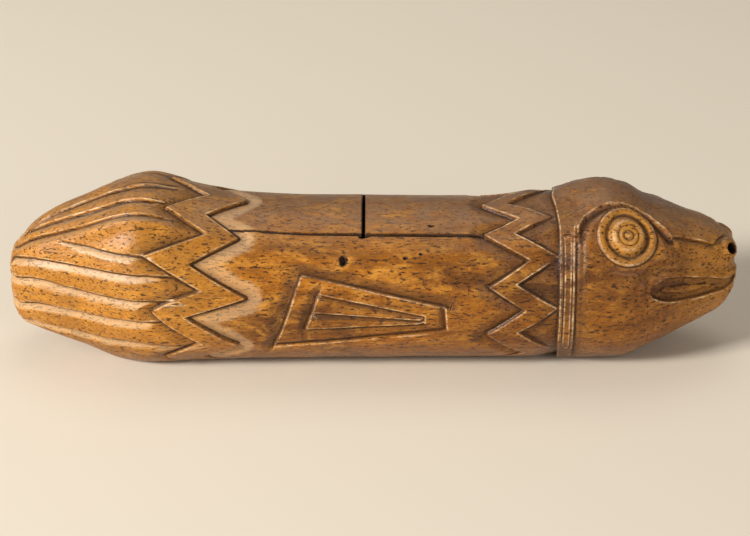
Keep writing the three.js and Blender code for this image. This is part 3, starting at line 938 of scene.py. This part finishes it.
@dataclass(frozen=True)
class SoundBox:
    """The hollow under the tongues and the mouth that it was worked through."""

    start: float = -130.0
    end: float = 106.0
    half_width: float = 50.0
    top: float = 52.0
    bottom: float = -50.0
    end_length: float = 16.0
    end_size: float = 0.72
    gouge_grain: Vector = (0.045, 0.11, 0.11)
    gouge_depth: float = 0.5
    sides: int = 64
    mouth_start: float = -98.0
    mouth_end: float = 74.0
    mouth_width: float = 56.0
    mouth_corner: float = 200.0
    mouth_below: float = -20.0
    mouth_under_axis: float = 20.0

    def hollow(self, axis_height: float) -> bpy.types.Object:
        """The hollow as a body: an ellipse along X, drawn in at its ends and gouged.

        The size of a ring falls from 1 to the end size over the end length, along a quarter
        circle, and the walls carry shallow noise, longer along the log than round it.

        Args:
            axis_height: Height of the log's axis above the floor.

        Returns:
            The hollow, to be cut from the log.
        """
        x = np.concatenate(
            [
                self.start + self.end_length * (1 - np.cos(np.linspace(0, np.pi / 2, 7))),
                np.linspace(self.start + self.end_length, self.end - self.end_length, 60)[1:-1],
                self.end - self.end_length * (1 - np.cos(np.linspace(np.pi / 2, 0, 7))),
            ]
        )
        inset = np.minimum(x - self.start, self.end - x) / self.end_length
        rounding = np.sqrt(np.clip(1 - (1 - np.clip(inset, 0, 1)) ** 2, 0, 1))
        size = self.end_size + (1 - self.end_size) * rounding
        turn = np.linspace(0, 2 * np.pi, self.sides, endpoint=False)
        middle = (self.top + self.bottom) / 2
        y = -self.half_width * size[:, None] * np.cos(turn)
        z = axis_height + middle + (self.top - middle) * size[:, None] * np.sin(turn)
        rings = np.stack([np.broadcast_to(x[:, None], y.shape), y, z], axis=-1)
        centre = np.array([0, 0, axis_height + middle])
        outward = (rings - centre) * np.array([0, 1, 1])
        outward /= np.linalg.norm(outward, axis=-1, keepdims=True)
        gouge = 1 + lattice_noise(rings * np.array(self.gouge_grain), 11)
        rings = rings - outward * self.gouge_depth * gouge[..., None]
        return closed_tube("hollow", rings)

    def mouth(self, axis_height: float) -> bpy.types.Object:
        """The mouth as a body: a rounded rectangle carried upwards from below the drum.

        Args:
            axis_height: Height of the log's axis above the floor.

        Returns:
            The mouth, to be cut from the log.
        """
        half_x = (self.mouth_end - self.mouth_start) / 2
        half_y = self.mouth_width / 2
        middle_x = (self.mouth_end + self.mouth_start) / 2
        turn = np.linspace(0, 2 * np.pi, 96, endpoint=False) + 0.03
        x = middle_x + np.clip(self.mouth_corner * np.cos(turn), -half_x, half_x)
        y = np.clip(self.mouth_corner * np.sin(turn), -half_y, half_y)
        heights = (self.mouth_below, axis_height - self.mouth_under_axis)
        rows = [np.stack([x, y, np.full_like(x, z)], axis=-1) for z in heights]
        return closed_tube("mouth_cut", np.array(rows))


@dataclass(frozen=True)
class Slit:
    """The H-shaped slit in the back: a long cut on each side and one across."""

    start: float = -113.0
    end: float = 89.0
    angle: float = 59.0
    least_width: float = 1.2
    widening: float = 1.2
    drift: float = 1.2
    waver: float = 0.25
    above_skin: float = 9.0
    below_skin: float = 30.0
    cross_x: float = -7.0
    cross_width: float = 2.2
    cross_heights: tuple[float, float] = (80.0, 150.0)

    def long_cut(self, skin: LogSkin, side: int) -> bpy.types.Object:
        """One long cut as a body.

        Its middle follows the skin at the slit's angle and drifts towards the back at the
        tail's end. Its width grows from the tail's end to the head's, and wavers slightly. It
        runs straight through the wall towards the axis.

        Args:
            skin: The log's skin.
            side: 1 for the near flank, -1 for the far one.

        Returns:
            The cut, to be taken from the log.
        """
        x = np.linspace(self.start, self.end, 60)
        flat = np.zeros_like(x)
        wander = self.waver * lattice_noise(np.stack([x * 0.06, flat + side, flat], axis=-1), 5)
        angle = self.angle + self.drift * smooth_step(-40, self.start, x) + wander
        width = self.least_width + self.widening * smooth_step(self.start, 40, x) + wander
        width *= smooth_step(-2, 6, x - self.start) * 0.5 + 0.5
        surface = skin.point(x, angle)
        turn = np.radians(angle)
        out = np.stack([flat, -np.cos(turn), np.sin(turn)], axis=-1)
        across = np.stack([flat, np.sin(turn), np.cos(turn)], axis=-1) * width[:, None]
        top, foot = surface + out * self.above_skin, surface - out * self.below_skin
        rings = np.stack(
            [top - across / 2, foot - across / 2, foot + across / 2, top + across / 2], axis=1
        )
        rings[..., 1] *= side
        if side > 0:
            rings = rings[:, ::-1]
        return closed_tube("long_cut", rings)

    def cross_cut(self, skin: LogSkin) -> bpy.types.Object:
        """The cut across the back, as a thin box from one long cut to the other.

        Args:
            skin: The log's skin.

        Returns:
            The cut, to be taken from the log.
        """
        y = skin.point(np.array(self.cross_x), np.array(self.angle))[1]
        low, high = self.cross_heights
        half = self.cross_width / 2
        rings = np.array(
            [
                [[x, y, low], [x, y, high], [x, -y, high], [x, -y, low]]
                for x in (self.cross_x - half, self.cross_x + half)
            ]
        )
        return closed_tube("cross_cut", rings)


@dataclass(frozen=True)
class Nostril:
    """A drilled nostril and where it points."""

    place: Vector = (288.0, -14.0, 96.0)
    radius: float = 4.6
    taper: float = 0.16
    length: float = 24.0
    tilt_up: float = 28.0
    turn_forward: float = 38.0

    def bore(self, side: int) -> bpy.types.Object:
        """The bore as a slightly tapered round body.

        Args:
            side: 1 for the near flank, -1 for the far one.

        Returns:
            The bore, to be cut from the log.
        """
        up, forward = math.radians(self.tilt_up), math.radians(self.turn_forward)
        out = np.array(
            [
                math.cos(up) * math.sin(forward),
                -math.cos(up) * math.cos(forward),
                math.sin(up),
            ]
        )
        level = np.cross(out, [0, 0, 1.0])
        level /= np.linalg.norm(level)
        upright = np.cross(level, out)
        turn = np.linspace(0, 2 * np.pi, 32, endpoint=False)
        circle = np.cos(turn)[:, None] * level + np.sin(turn)[:, None] * upright
        rings = np.array(
            [
                self.place + out * self.length * t + circle * self.radius * (1 + self.taper * t)
                for t in np.linspace(-0.5, 0.5, 7)
            ]
        )
        rings[..., 1] *= side
        if side < 0:
            rings = rings[:, ::-1]
        return closed_tube("nostril", rings)


@dataclass(frozen=True)
class Hole:
    """A small tapered hole in the near flank: its place, its length and width, and depth."""

    place: tuple[float, float]
    size: tuple[float, float]
    depth: float

    def bore(self, skin: LogSkin) -> bpy.types.Object:
        """The hole as a body, straight in from the skin, with a ragged oval outline.

        Args:
            skin: The log's skin.

        Returns:
            The hole, to be cut from the log.
        """
        x, angle = (np.array(value) for value in self.place)
        centre, out = skin.point(x, angle), skin.normal(x, angle)
        along = np.array([1.0, 0, 0]) - out * out[0]
        along /= np.linalg.norm(along)
        across = np.cross(out, along)
        turn = np.linspace(0, 2 * np.pi, 24, endpoint=False)
        ragged = 1 + 0.12 * np.sin(3 * turn + 1) + 0.08 * np.sin(5 * turn)
        circle = (np.cos(turn) * ragged)[:, None] * along * self.size[0] / 2
        circle = circle + (np.sin(turn) * ragged)[:, None] * across * self.size[1] / 2
        steps = ((4, 1.5), (-0.3, 1.0), (-self.depth * 0.7, 0.75), (-self.depth, 0.3))
        rings = np.array([centre + out * reach + circle * width for reach, width in steps])
        return closed_tube("hole", rings)


@dataclass(frozen=True)
class Waver:
    """Shallow unevenness left by the adze: its depth, its bumps for each millimetre, a seed."""

    depth: float
    grain: Vector
    seed: int

    def at(self, points: Array) -> Array:
        """The depth of the unevenness at points."""
        return self.depth * lattice_noise(points * np.array(self.grain), self.seed)


@dataclass
class Drum:
    """The whole drum: one carved, hollowed and slit body."""

    skin: LogSkin = field(default_factory=LogSkin)
    plan: GridPlan = field(default_factory=GridPlan)
    sound_box: SoundBox = field(default_factory=SoundBox)
    slit: Slit = field(default_factory=Slit)
    nostril: Nostril = field(default_factory=Nostril)
    holes: tuple[Hole, ...] = (
        Hole((-23.0, 40.0), (6.5, 8.0), 5.0),
        Hole((47.0, 67.0), (5.0, 1.9), 4.0),
        Hole((-16.0, 0.0), (3.0, 2.6), 3.0),
        Hole((-7.0, 58.0), (9.0, 3.5), 6.0),
        Hole((26.0, 42.0), (3.2, 1.8), 2.0),
        Hole((38.0, 45.0), (2.6, 1.6), 2.0),
    )
    wavers: tuple[Waver, ...] = (
        Waver(0.30, (0.03, 0.08, 0.08), 3),
        Waver(0.16, (0.08, 0.2, 0.2), 4),
    )
    sunk: float = 0.3
    cap_shares: tuple[float, ...] = (0.3, 0.6, 0.85)

    def carved_surface(self) -> bpy.types.Object:
        """The carved outside, closed at both ends, with the distances to its lines, its recesses
        and its painted slope light and shade stored.

        Relief is worked out on the near flank and mirrored. Every point is then moved into
        the wood by the relief and the unevenness, and none is left below the floor.

        Returns:
            The closed body, not yet hollowed.
        """
        carving = Carving(self.skin)
        x, angle = self.plan.grid(carving.tail, carving.head)
        folded = np.where(angle > 90, 180 - angle, angle)
        near_points = self.skin.point(x, folded).reshape(-1, 3)
        near_normals = self.skin.normal(x, folded).reshape(-1, 3)
        relief = carving.relief(x.ravel(), folded.ravel(), near_points, near_normals)
        points = self.skin.point(x, angle)
        hewn = sum(waver.at(points) for waver in self.wavers)
        depth = relief["depth"].reshape(x.shape) + self.sunk + hewn
        surface = points - self.skin.normal(x, angle) * depth[..., None]
        start, end = (
            [ring.mean(axis=0) * (1 - share) + ring * share for share in self.cap_shares]
            for ring in (surface[0], surface[-1])
        )
        rings = np.concatenate([start, surface, end[::-1]])
        rings[..., 2] = np.maximum(rings[..., 2], 0)
        made = closed_tube("drum_skin", rings)
        relief["depth"] = relief["depth"] + hewn.ravel()
        first = len(start) * x.shape[1]
        for name, values in relief.items():
            blank = 0.0 if name in ("depth", "tone") else UNMARKED
            whole = np.full(len(made.data.vertices), blank)
            whole[first : first + x.size] = values
            set_attribute(made.data, name, whole)
        set_attribute(made.data, "outside", np.ones(len(made.data.vertices)))
        return made

    def build(self) -> bpy.types.Object:
        """Cuts the hollow, its mouth, the slit, nostrils and holes from the carved body.

        Returns:
            The finished body, without its finish.
        """
        body = self.carved_surface()
        height = self.skin.axis_height
        cutters = [self.sound_box.hollow(height), self.sound_box.mouth(height)]
        cutters += [self.slit.long_cut(self.skin, side) for side in (1, -1)]
        cutters.append(self.slit.cross_cut(self.skin))
        cutters += [self.nostril.bore(side) for side in (1, -1)]
        cutters += [hole.bore(self.skin) for hole in self.holes]
        for cutter in cutters:
            modifier = body.modifiers.new(cutter.name, "BOOLEAN")
            modifier.operation = "DIFFERENCE"
            modifier.solver = "MANIFOLD"
            modifier.object = cutter
        graph = bpy.context.evaluated_depsgraph_get()
        mesh = bpy.data.meshes.new_from_object(body.evaluated_get(graph))
        mesh.name = "carved_drum"
        body.modifiers.clear()
        body.data = mesh
        for cutter in cutters:
            bpy.data.objects.remove(cutter)
        body.name = "carved_drum"
        mesh.polygons.foreach_set("use_smooth", np.ones(len(mesh.polygons), bool))
        return body


# ------------------------------------------------------------------ finishes


class NodeKit:
    """Short calls for building a node material."""

    def __init__(self, name: str) -> None:
        """Starts a material with an empty node tree."""
        self.material = bpy.data.materials.new(name)
        self.material.use_nodes = True
        self.tree = self.material.node_tree
        self.tree.nodes.clear()

    def node(self, kind: str, **settings: object) -> bpy.types.Node:
        """A node of a kind with its settings.

        Args:
            kind: The node's type.
            settings: Its properties by name.

        Returns:
            The node.
        """
        made = self.tree.nodes.new(kind)
        for key, value in settings.items():
            setattr(made, key, value)
        return made

    def link(self, source: Socket, target: Socket) -> None:
        """Joins an output to an input."""
        self.tree.links.new(source, target)

    def feed(self, socket: Socket, value: object) -> None:
        """Sets a socket to a number or colour, or joins another socket to it.

        Args:
            socket: The input.
            value: A number, a colour or an output.
        """
        if isinstance(value, Socket):
            self.link(value, socket)
        else:
            socket.default_value = value

    def math(self, operation: str, a: object, b: object = 0.0) -> Socket:
        """One sum of two values.

        Args:
            operation: The node's operation.
            a: First value.
            b: Second value.

        Returns:
            The result.
        """
        made = self.node("ShaderNodeMath", operation=operation)
        self.feed(made.inputs[0], a)
        self.feed(made.inputs[1], b)
        return made.outputs[0]

    def times(self, a: object, b: object) -> Socket:
        """The product of two values."""
        return self.math("MULTIPLY", a, b)

    def mix(self, share: object, a: object, b: object) -> Socket:
        """A mix of two colours.

        Args:
            share: How much of b shows, from 0 to 1.
            a: First colour.
            b: Second colour.

        Returns:
            The mixed colour.
        """
        made = self.node("ShaderNodeMix", data_type="RGBA")
        self.feed(made.inputs["Factor"], share)
        self.feed(made.inputs[6], a)
        self.feed(made.inputs[7], b)
        return made.outputs[2]

    def stain(self, base: Socket, where: Socket, strength: object, colour: Colour) -> Socket:
        """A colour laid over the base, as strongly as its mask times its strength."""
        return self.mix(self.times(where, strength), base, colour)

    def spread(
        self, value: object, low: float, high: float, to_low: float = 0.0, to_high: float = 1.0
    ) -> Socket:
        """A value moved from one range to another, and held inside it.

        Args:
            value: What is moved.
            low: Start of its range.
            high: End of its range.
            to_low: What low becomes.
            to_high: What high becomes.

        Returns:
            The value in its new range.
        """
        made = self.node("ShaderNodeMapRange", clamp=True)
        self.feed(made.inputs["Value"], value)
        numbers = {"From Min": low, "From Max": high, "To Min": to_low, "To Max": to_high}
        for key, number in numbers.items():
            made.inputs[key].default_value = number
        return made.outputs["Result"]

    def band(self, value: object, middle: float, half_width: float) -> Socket:
        """A soft bump: 1 where the value is at middle, falling to 0 half a width away.

        Args:
            value: What is measured.
            middle: Where the bump stands.
            half_width: How far it reaches.

        Returns:
            The bump's height.
        """
        away = self.math("ABSOLUTE", self.math("SUBTRACT", value, middle))
        return self.spread(away, half_width * 0.35, half_width, 1.0, 0.0)

    def bands(self, first: Socket, value: Socket, rows: Profile) -> Socket:
        """A mask joined with soft bumps, given as (middle, half width) rows.

        Args:
            first: The mask so far.
            value: What is measured.
            rows: Middles and half widths.

        Returns:
            The joined mask.
        """
        for middle, half_width in rows:
            first = self.math("MAXIMUM", first, self.band(value, middle, half_width))
        return first

    def along(self) -> Socket:
        """The place along the log, in metres.

        Returns:
            The X of Object coordinates.
        """
        coordinate = self.node("ShaderNodeTexCoord")
        split = self.node("ShaderNodeSeparateXYZ")
        self.link(coordinate.outputs["Object"], split.inputs[0])
        return split.outputs["X"]

    def noise(
        self, grain: Vector, detail: float, rough: float, twist: float = 0.0,
        shift: Vector = (0, 0, 0),
    ) -> Socket:
        """Fractal noise over Object coordinates, with as many bumps a metre as grain says.

        Args:
            grain: Bumps a metre along each axis.
            detail: How many finer layers.
            rough: How strong the finer layers are.
            twist: How far the noise bends itself.
            shift: An offset, so that two noises differ.

        Returns:
            The noise, from 0 to 1.
        """
        coordinate = self.node("ShaderNodeTexCoord")
        mapping = self.node("ShaderNodeMapping")
        mapping.inputs["Scale"].default_value = grain
        mapping.inputs["Location"].default_value = shift
        self.link(coordinate.outputs["Object"], mapping.inputs["Vector"])
        made = self.node("ShaderNodeTexNoise")
        self.link(mapping.outputs["Vector"], made.inputs["Vector"])
        made.inputs["Scale"].default_value = 1.0
        made.inputs["Detail"].default_value = detail
        made.inputs["Roughness"].default_value = rough
        made.inputs["Distortion"].default_value = twist
        return made.outputs["Fac"]

    def attribute(self, name: str) -> Socket:
        """A number stored on the mesh."""
        return self.node("ShaderNodeAttribute", attribute_name=name).outputs["Fac"]


@dataclass
class WoodMasks:
    """The patterns that the wood's colour and its unevenness share."""

    kit: NodeKit

    def __post_init__(self) -> None:
        """Makes each pattern: noise stretched along the log, and the pores cut out of it."""
        self.streak = self.kit.noise((20, 330, 330), 5, 0.65, 0.5)
        self.blotch = self.kit.noise((45, 90, 90), 5, 0.65, 0.6)
        self.speckle = self.kit.noise((230, 420, 420), 4, 0.7)
        self.pores = self.kit.spread(self.kit.noise((190, 620, 620), 2, 0.5), 0.585, 0.66)


@dataclass(frozen=True)
class OiledWood:
    """Old orange-brown hardwood, streaked and pored, with painted shade in its recesses and pale
    wear and painted highlight on its edges.
    """

    # the dark of pores and cracks, and painted shade in recesses, at groove feet, in eye rings and
    # on cut faces
    deep: Colour = (0.030, 0.011, 0.004, 1)
    brown: Colour = (0.125, 0.040, 0.006, 1)
    orange: Colour = (0.40, 0.135, 0.009, 1)
    honey: Colour = (0.66, 0.28, 0.035, 1)
    # pale wear, and painted light on slopes and edges
    wear_and_painted_light: Colour = (0.80, 0.56, 0.32, 1)
    # dust on what faces up, and painted shade on what faces down
    dust_and_underside_shade: Colour = (0.22, 0.120, 0.060, 1)
    # painted shade on cut slopes
    painted_slope_shade: Colour = (0.085, 0.038, 0.015, 1)
    roughness: tuple[float, float] = (0.26, 0.50)
    specular: float = 0.26
    coat: float = 0.08
    coat_roughness: float = 0.25
    bump_strength: float = 0.7
    bump_distance: float = 0.0010
    # painted shade in the eye's grooves
    ring_groove_shade: Profile = ((4.1, 0.9), (8.7, 0.7), (18.3, 1.8), (26.2, 0.8))
    # pale wear and painted highlight on the eye's rings
    ring_wear_and_highlight: Profile = ((0.0, 3.2), (6.5, 0.8), (12.2, 2.2), (24.3, 1.2))

    def grain(self, kit: NodeKit, masks: WoodMasks) -> Socket:
        """The clean wood: brown, orange and honey by broad noise, streaked with brown.

        Args:
            kit: The calls for the material's tree.
            masks: The shared patterns.

        Returns:
            The colour.
        """
        broad = kit.noise((7, 18, 18), 5, 0.6, 0.8)
        base = kit.mix(kit.spread(broad, 0.38, 0.56), self.brown, self.orange)
        base = kit.mix(kit.spread(masks.blotch, 0.47, 0.68, 0.0, 0.85), base, self.honey)
        base = kit.mix(kit.spread(masks.blotch, 0.46, 0.30, 0.0, 0.55), base, self.brown)
        return kit.mix(kit.spread(masks.streak, 0.50, 0.66, 0.0, 0.6), base, self.brown)

    def regions(self, kit: NodeKit, base: Socket) -> Socket:
        """Veins on the head, and painted light: honey laid over the tail, snout and eyes to make
        them paler.

        A vein runs where noise crosses its middle value.

        Args:
            kit: The calls for the material's tree.
            base: The colour so far.

        Returns:
            The colour with both laid over it.
        """
        along = kit.along()
        swirl = kit.noise((60, 90, 90), 5, 0.65, 1.5, (3, 0, 0))
        vein = kit.math("ABSOLUTE", kit.math("SUBTRACT", swirl, 0.5))
        veins = kit.times(kit.spread(vein, 0.0, 0.05, 0.3, 1.0), 0.5)
        base = kit.stain(base, kit.spread(along, 0.0, 0.10), veins, self.brown)
        # painted light: the tail, snout and eyes made paler with honey
        tail = kit.times(kit.spread(along, -0.09, -0.14), 0.45)
        snout = kit.times(kit.spread(along, 0.235, 0.275), 0.45)
        eye = kit.times(kit.spread(kit.attribute("ring"), 27.0, 20.0), 0.75)
        painted_light_mask = kit.math("MAXIMUM", kit.math("MAXIMUM", tail, snout), eye)
        return kit.mix(painted_light_mask, base, self.honey)

    def pored(self, kit: NodeKit, masks: WoodMasks, base: Socket) -> Socket:
        """Fine brown specks, and pores."""
        fine = kit.noise((420, 900, 900), 3, 0.6, 0.0, (5, 2, 1))
        base = kit.mix(kit.spread(fine, 0.53, 0.68, 0.0, 0.6), base, self.brown)
        return kit.stain(base, masks.pores, 0.85, self.deep)

    def dusted_and_shaded(self, kit: NodeKit, base: Socket) -> Socket:
        """Dust on what faces up, painted shade on what faces down, painted light and shade on the
        cut slopes, and painted shade in recesses.

        Args:
            kit: The calls for the material's tree.
            base: The colour so far.

        Returns:
            The colour with dust, painted light and painted shade laid over it.
        """
        split = kit.node("ShaderNodeSeparateXYZ")
        kit.link(kit.node("ShaderNodeNewGeometry").outputs["Normal"], split.inputs[0])
        facing = split.outputs["Z"]
        mottled = kit.spread(kit.noise((60, 120, 120), 5, 0.7), 0.38, 0.62, 0.35, 0.85)
        base = kit.stain(base, kit.spread(facing, 0.66, 0.96), mottled, self.dust_and_underside_shade)
        # painted shade: what faces down is darkened
        base = kit.stain(base, kit.spread(facing, -0.35, -0.85), 0.6, self.dust_and_underside_shade)
        # painted light and painted shade on the cut slopes
        tone = kit.attribute("tone")
        base = kit.stain(base, kit.spread(tone, 0.0, 1.0), 0.75, self.wear_and_painted_light)
        base = kit.stain(base, kit.spread(tone, 0.0, -1.0), 0.8, self.painted_slope_shade)
        # painted shade: the deeper recesses darkened
        return kit.stain(base, kit.spread(kit.attribute("depth"), 1.2, 3.8), 0.5, self.deep)

    def marked(self, kit: NodeKit, masks: WoodMasks, base: Socket) -> Socket:
        """Painted shade as dark lines at the foot of each cut's wall, pale lines of wear and
        painted highlight on its edge, and painted shade on the faces cut inside.

        The rings of the eye are drawn the same way. Blotches and specks break both up.

        Args:
            kit: The calls for the material's tree.
            masks: The shared patterns.
            base: The colour so far.

        Returns:
            The finished colour.
        """
        line, ring = kit.attribute("line"), kit.attribute("ring")
        # painted shade: dark lines at the foot of each cut's wall and in the eye's grooves, joined
        # by the cracks' dark lines
        dark = kit.bands(kit.band(line, WALL_SPAN, 1.0), ring, self.ring_groove_shade)
        dark = kit.bands(dark, kit.attribute("crack"), ((0.0, 0.55),))
        base = kit.stain(base, dark, kit.spread(masks.blotch, 0.3, 0.6, 0.5, 0.9), self.deep)
        # pale edges and eye rings: part wear, part painted highlight
        pale = kit.bands(kit.band(line, -0.35, 0.7), ring, self.ring_wear_and_highlight)
        flecked = kit.spread(masks.speckle, 0.35, 0.60)
        pale = kit.times(pale, kit.times(flecked, kit.spread(masks.blotch, 0.38, 0.6)))
        base = kit.stain(base, pale, 0.9, self.wear_and_painted_light)
        # painted shade: the faces cut inside, such as the hollow, darkened
        cut_face_shade = kit.math("SUBTRACT", 1.0, kit.attribute("outside"))
        return kit.stain(base, cut_face_shade, 0.9, self.deep)

    def uneven(self, kit: NodeKit, masks: WoodMasks) -> Socket:
        """The surface's fine unevenness, as normals: streaks, blotches, specks and pores.

        Args:
            kit: The calls for the material's tree.
            masks: The shared patterns.

        Returns:
            The bent normals.
        """
        height = kit.math("ADD", kit.times(masks.streak, 0.6), kit.times(masks.pores, -0.8))
        height = kit.math("ADD", height, kit.times(masks.blotch, 1.2))
        height = kit.math("ADD", height, kit.times(masks.speckle, 0.7))
        bump = kit.node("ShaderNodeBump")
        bump.inputs["Strength"].default_value = self.bump_strength
        bump.inputs["Distance"].default_value = self.bump_distance
        kit.link(height, bump.inputs["Height"])
        return bump.outputs["Normal"]

    def material(self) -> bpy.types.Material:
        """Builds the finish, one layer over another.

        Returns:
            The material.
        """
        kit = NodeKit("oiled_wood")
        masks = WoodMasks(kit)
        base = self.regions(kit, self.grain(kit, masks))
        base = self.dusted_and_shaded(kit, self.pored(kit, masks, base))
        shader = kit.node("ShaderNodeBsdfPrincipled")
        kit.link(self.marked(kit, masks, base), shader.inputs["Base Color"])
        gloss = kit.noise((50, 90, 90), 4, 0.6)
        kit.link(kit.spread(gloss, 0.35, 0.7, *self.roughness), shader.inputs["Roughness"])
        shader.inputs["Specular IOR Level"].default_value = self.specular
        shader.inputs["Coat Weight"].default_value = self.coat
        shader.inputs["Coat Roughness"].default_value = self.coat_roughness
        kit.link(self.uneven(kit, masks), shader.inputs["Normal"])
        output = kit.node("ShaderNodeOutputMaterial")
        kit.link(shader.outputs["BSDF"], output.inputs["Surface"])
        return kit.material


# ------------------------------------------------------------------ studio


@dataclass(frozen=True)
class Lamp:
    """A square lamp that looks at the drum's middle."""

    name: str
    place: Vector
    size: float
    power: float
    colour: Vector = (1.0, 1.0, 1.0)

    def hang(self, aim_height: float) -> None:
        """Makes the lamp, turned to a point above the origin.

        Args:
            aim_height: Height of that point in metres.
        """
        data = bpy.data.lights.new(self.name, "AREA")
        data.size = self.size
        data.energy = self.power
        data.color = self.colour
        made = bpy.data.objects.new(self.name, data)
        made.location = self.place
        away = np.array(self.place) - np.array([0, 0, aim_height])
        made.rotation_euler = (
            math.acos(away[2] / np.linalg.norm(away)),
            0,
            math.atan2(away[1], away[0]) + math.pi / 2,
        )
        bpy.context.scene.collection.objects.link(made)


@dataclass(frozen=True)
class Studio:
    """The pale floor, the lamps and the camera, in metres."""

    floor_colour: Colour = (0.78, 0.68, 0.54, 1)
    floor_roughness: float = 0.9
    floor_size: float = 8.0
    sky_colour: Colour = (1, 0.99, 0.97, 1)
    sky_strength: float = 0.25
    aim_height: float = 0.06
    hung: tuple[Lamp, ...] = (
        Lamp("key", (-3.2, -1.9, 2.1), 0.9, 215),
        Lamp("top", (0.1, 0.9, 2.6), 1.6, 12, (1.0, 0.97, 0.92)),
        Lamp("right", (2.2, -2.6, 1.3), 1.4, 24),
    )
    sensor_width: float = 36.0
    elevation: float = 30.0
    distance: float = 1.648
    lens: float = 95.98
    target: Vector = (0.0021, 0.0029, 0.0680)

    def floor(self) -> None:
        """A large pale floor."""
        half = self.floor_size / 2 / MM
        corners = np.array([[-half, -half, 0], [half, -half, 0], [half, half, 0], [-half, half, 0]])
        made = make_object("floor", corners, [(0, 1, 2, 3)])
        kit = NodeKit("pale_floor")
        shader = kit.node("ShaderNodeBsdfPrincipled")
        shader.inputs["Base Color"].default_value = self.floor_colour
        shader.inputs["Roughness"].default_value = self.floor_roughness
        output = kit.node("ShaderNodeOutputMaterial")
        kit.link(shader.outputs["BSDF"], output.inputs["Surface"])
        made.data.materials.append(kit.material)

    def lamps(self) -> None:
        """A key at the far left, a broad fill from above, a weak one from the right, a sky."""
        for lamp in self.hung:
            lamp.hang(self.aim_height)
        world = bpy.data.worlds.new("studio")
        world.use_nodes = True
        background = world.node_tree.nodes["Background"]
        background.inputs["Color"].default_value = self.sky_colour
        background.inputs["Strength"].default_value = self.sky_strength
        bpy.context.scene.world = world
        bpy.context.scene.view_settings.view_transform = "Standard"

    def camera(self) -> None:
        """A long lens raised above the near flank, looking down at the drum."""
        data = bpy.data.cameras.new("camera")
        data.sensor_width = self.sensor_width
        data.lens = self.lens
        made = bpy.data.objects.new("camera", data)
        angle = math.radians(self.elevation)
        made.location = (
            self.target[0],
            self.target[1] - self.distance * math.cos(angle),
            self.target[2] + self.distance * math.sin(angle),
        )
        made.rotation_euler = (math.pi / 2 - angle, 0, 0)
        bpy.context.scene.collection.objects.link(made)
        bpy.context.scene.camera = made


def main() -> None:
    """Builds the drum and the studio."""
    logging.basicConfig(level=logging.INFO)
    drum = Drum().build()
    drum.data.materials.clear()
    drum.data.materials.append(OiledWood().material())
    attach(drum, "root")
    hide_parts(NODE)
    triangles = sum(len(polygon.vertices) - 2 for polygon in drum.data.polygons)
    LOG.info("%s: %d triangles", drum.name, triangles)
    studio = Studio()
    studio.floor()
    studio.lamps()
    studio.camera()


if __name__ == "__main__":
    main()
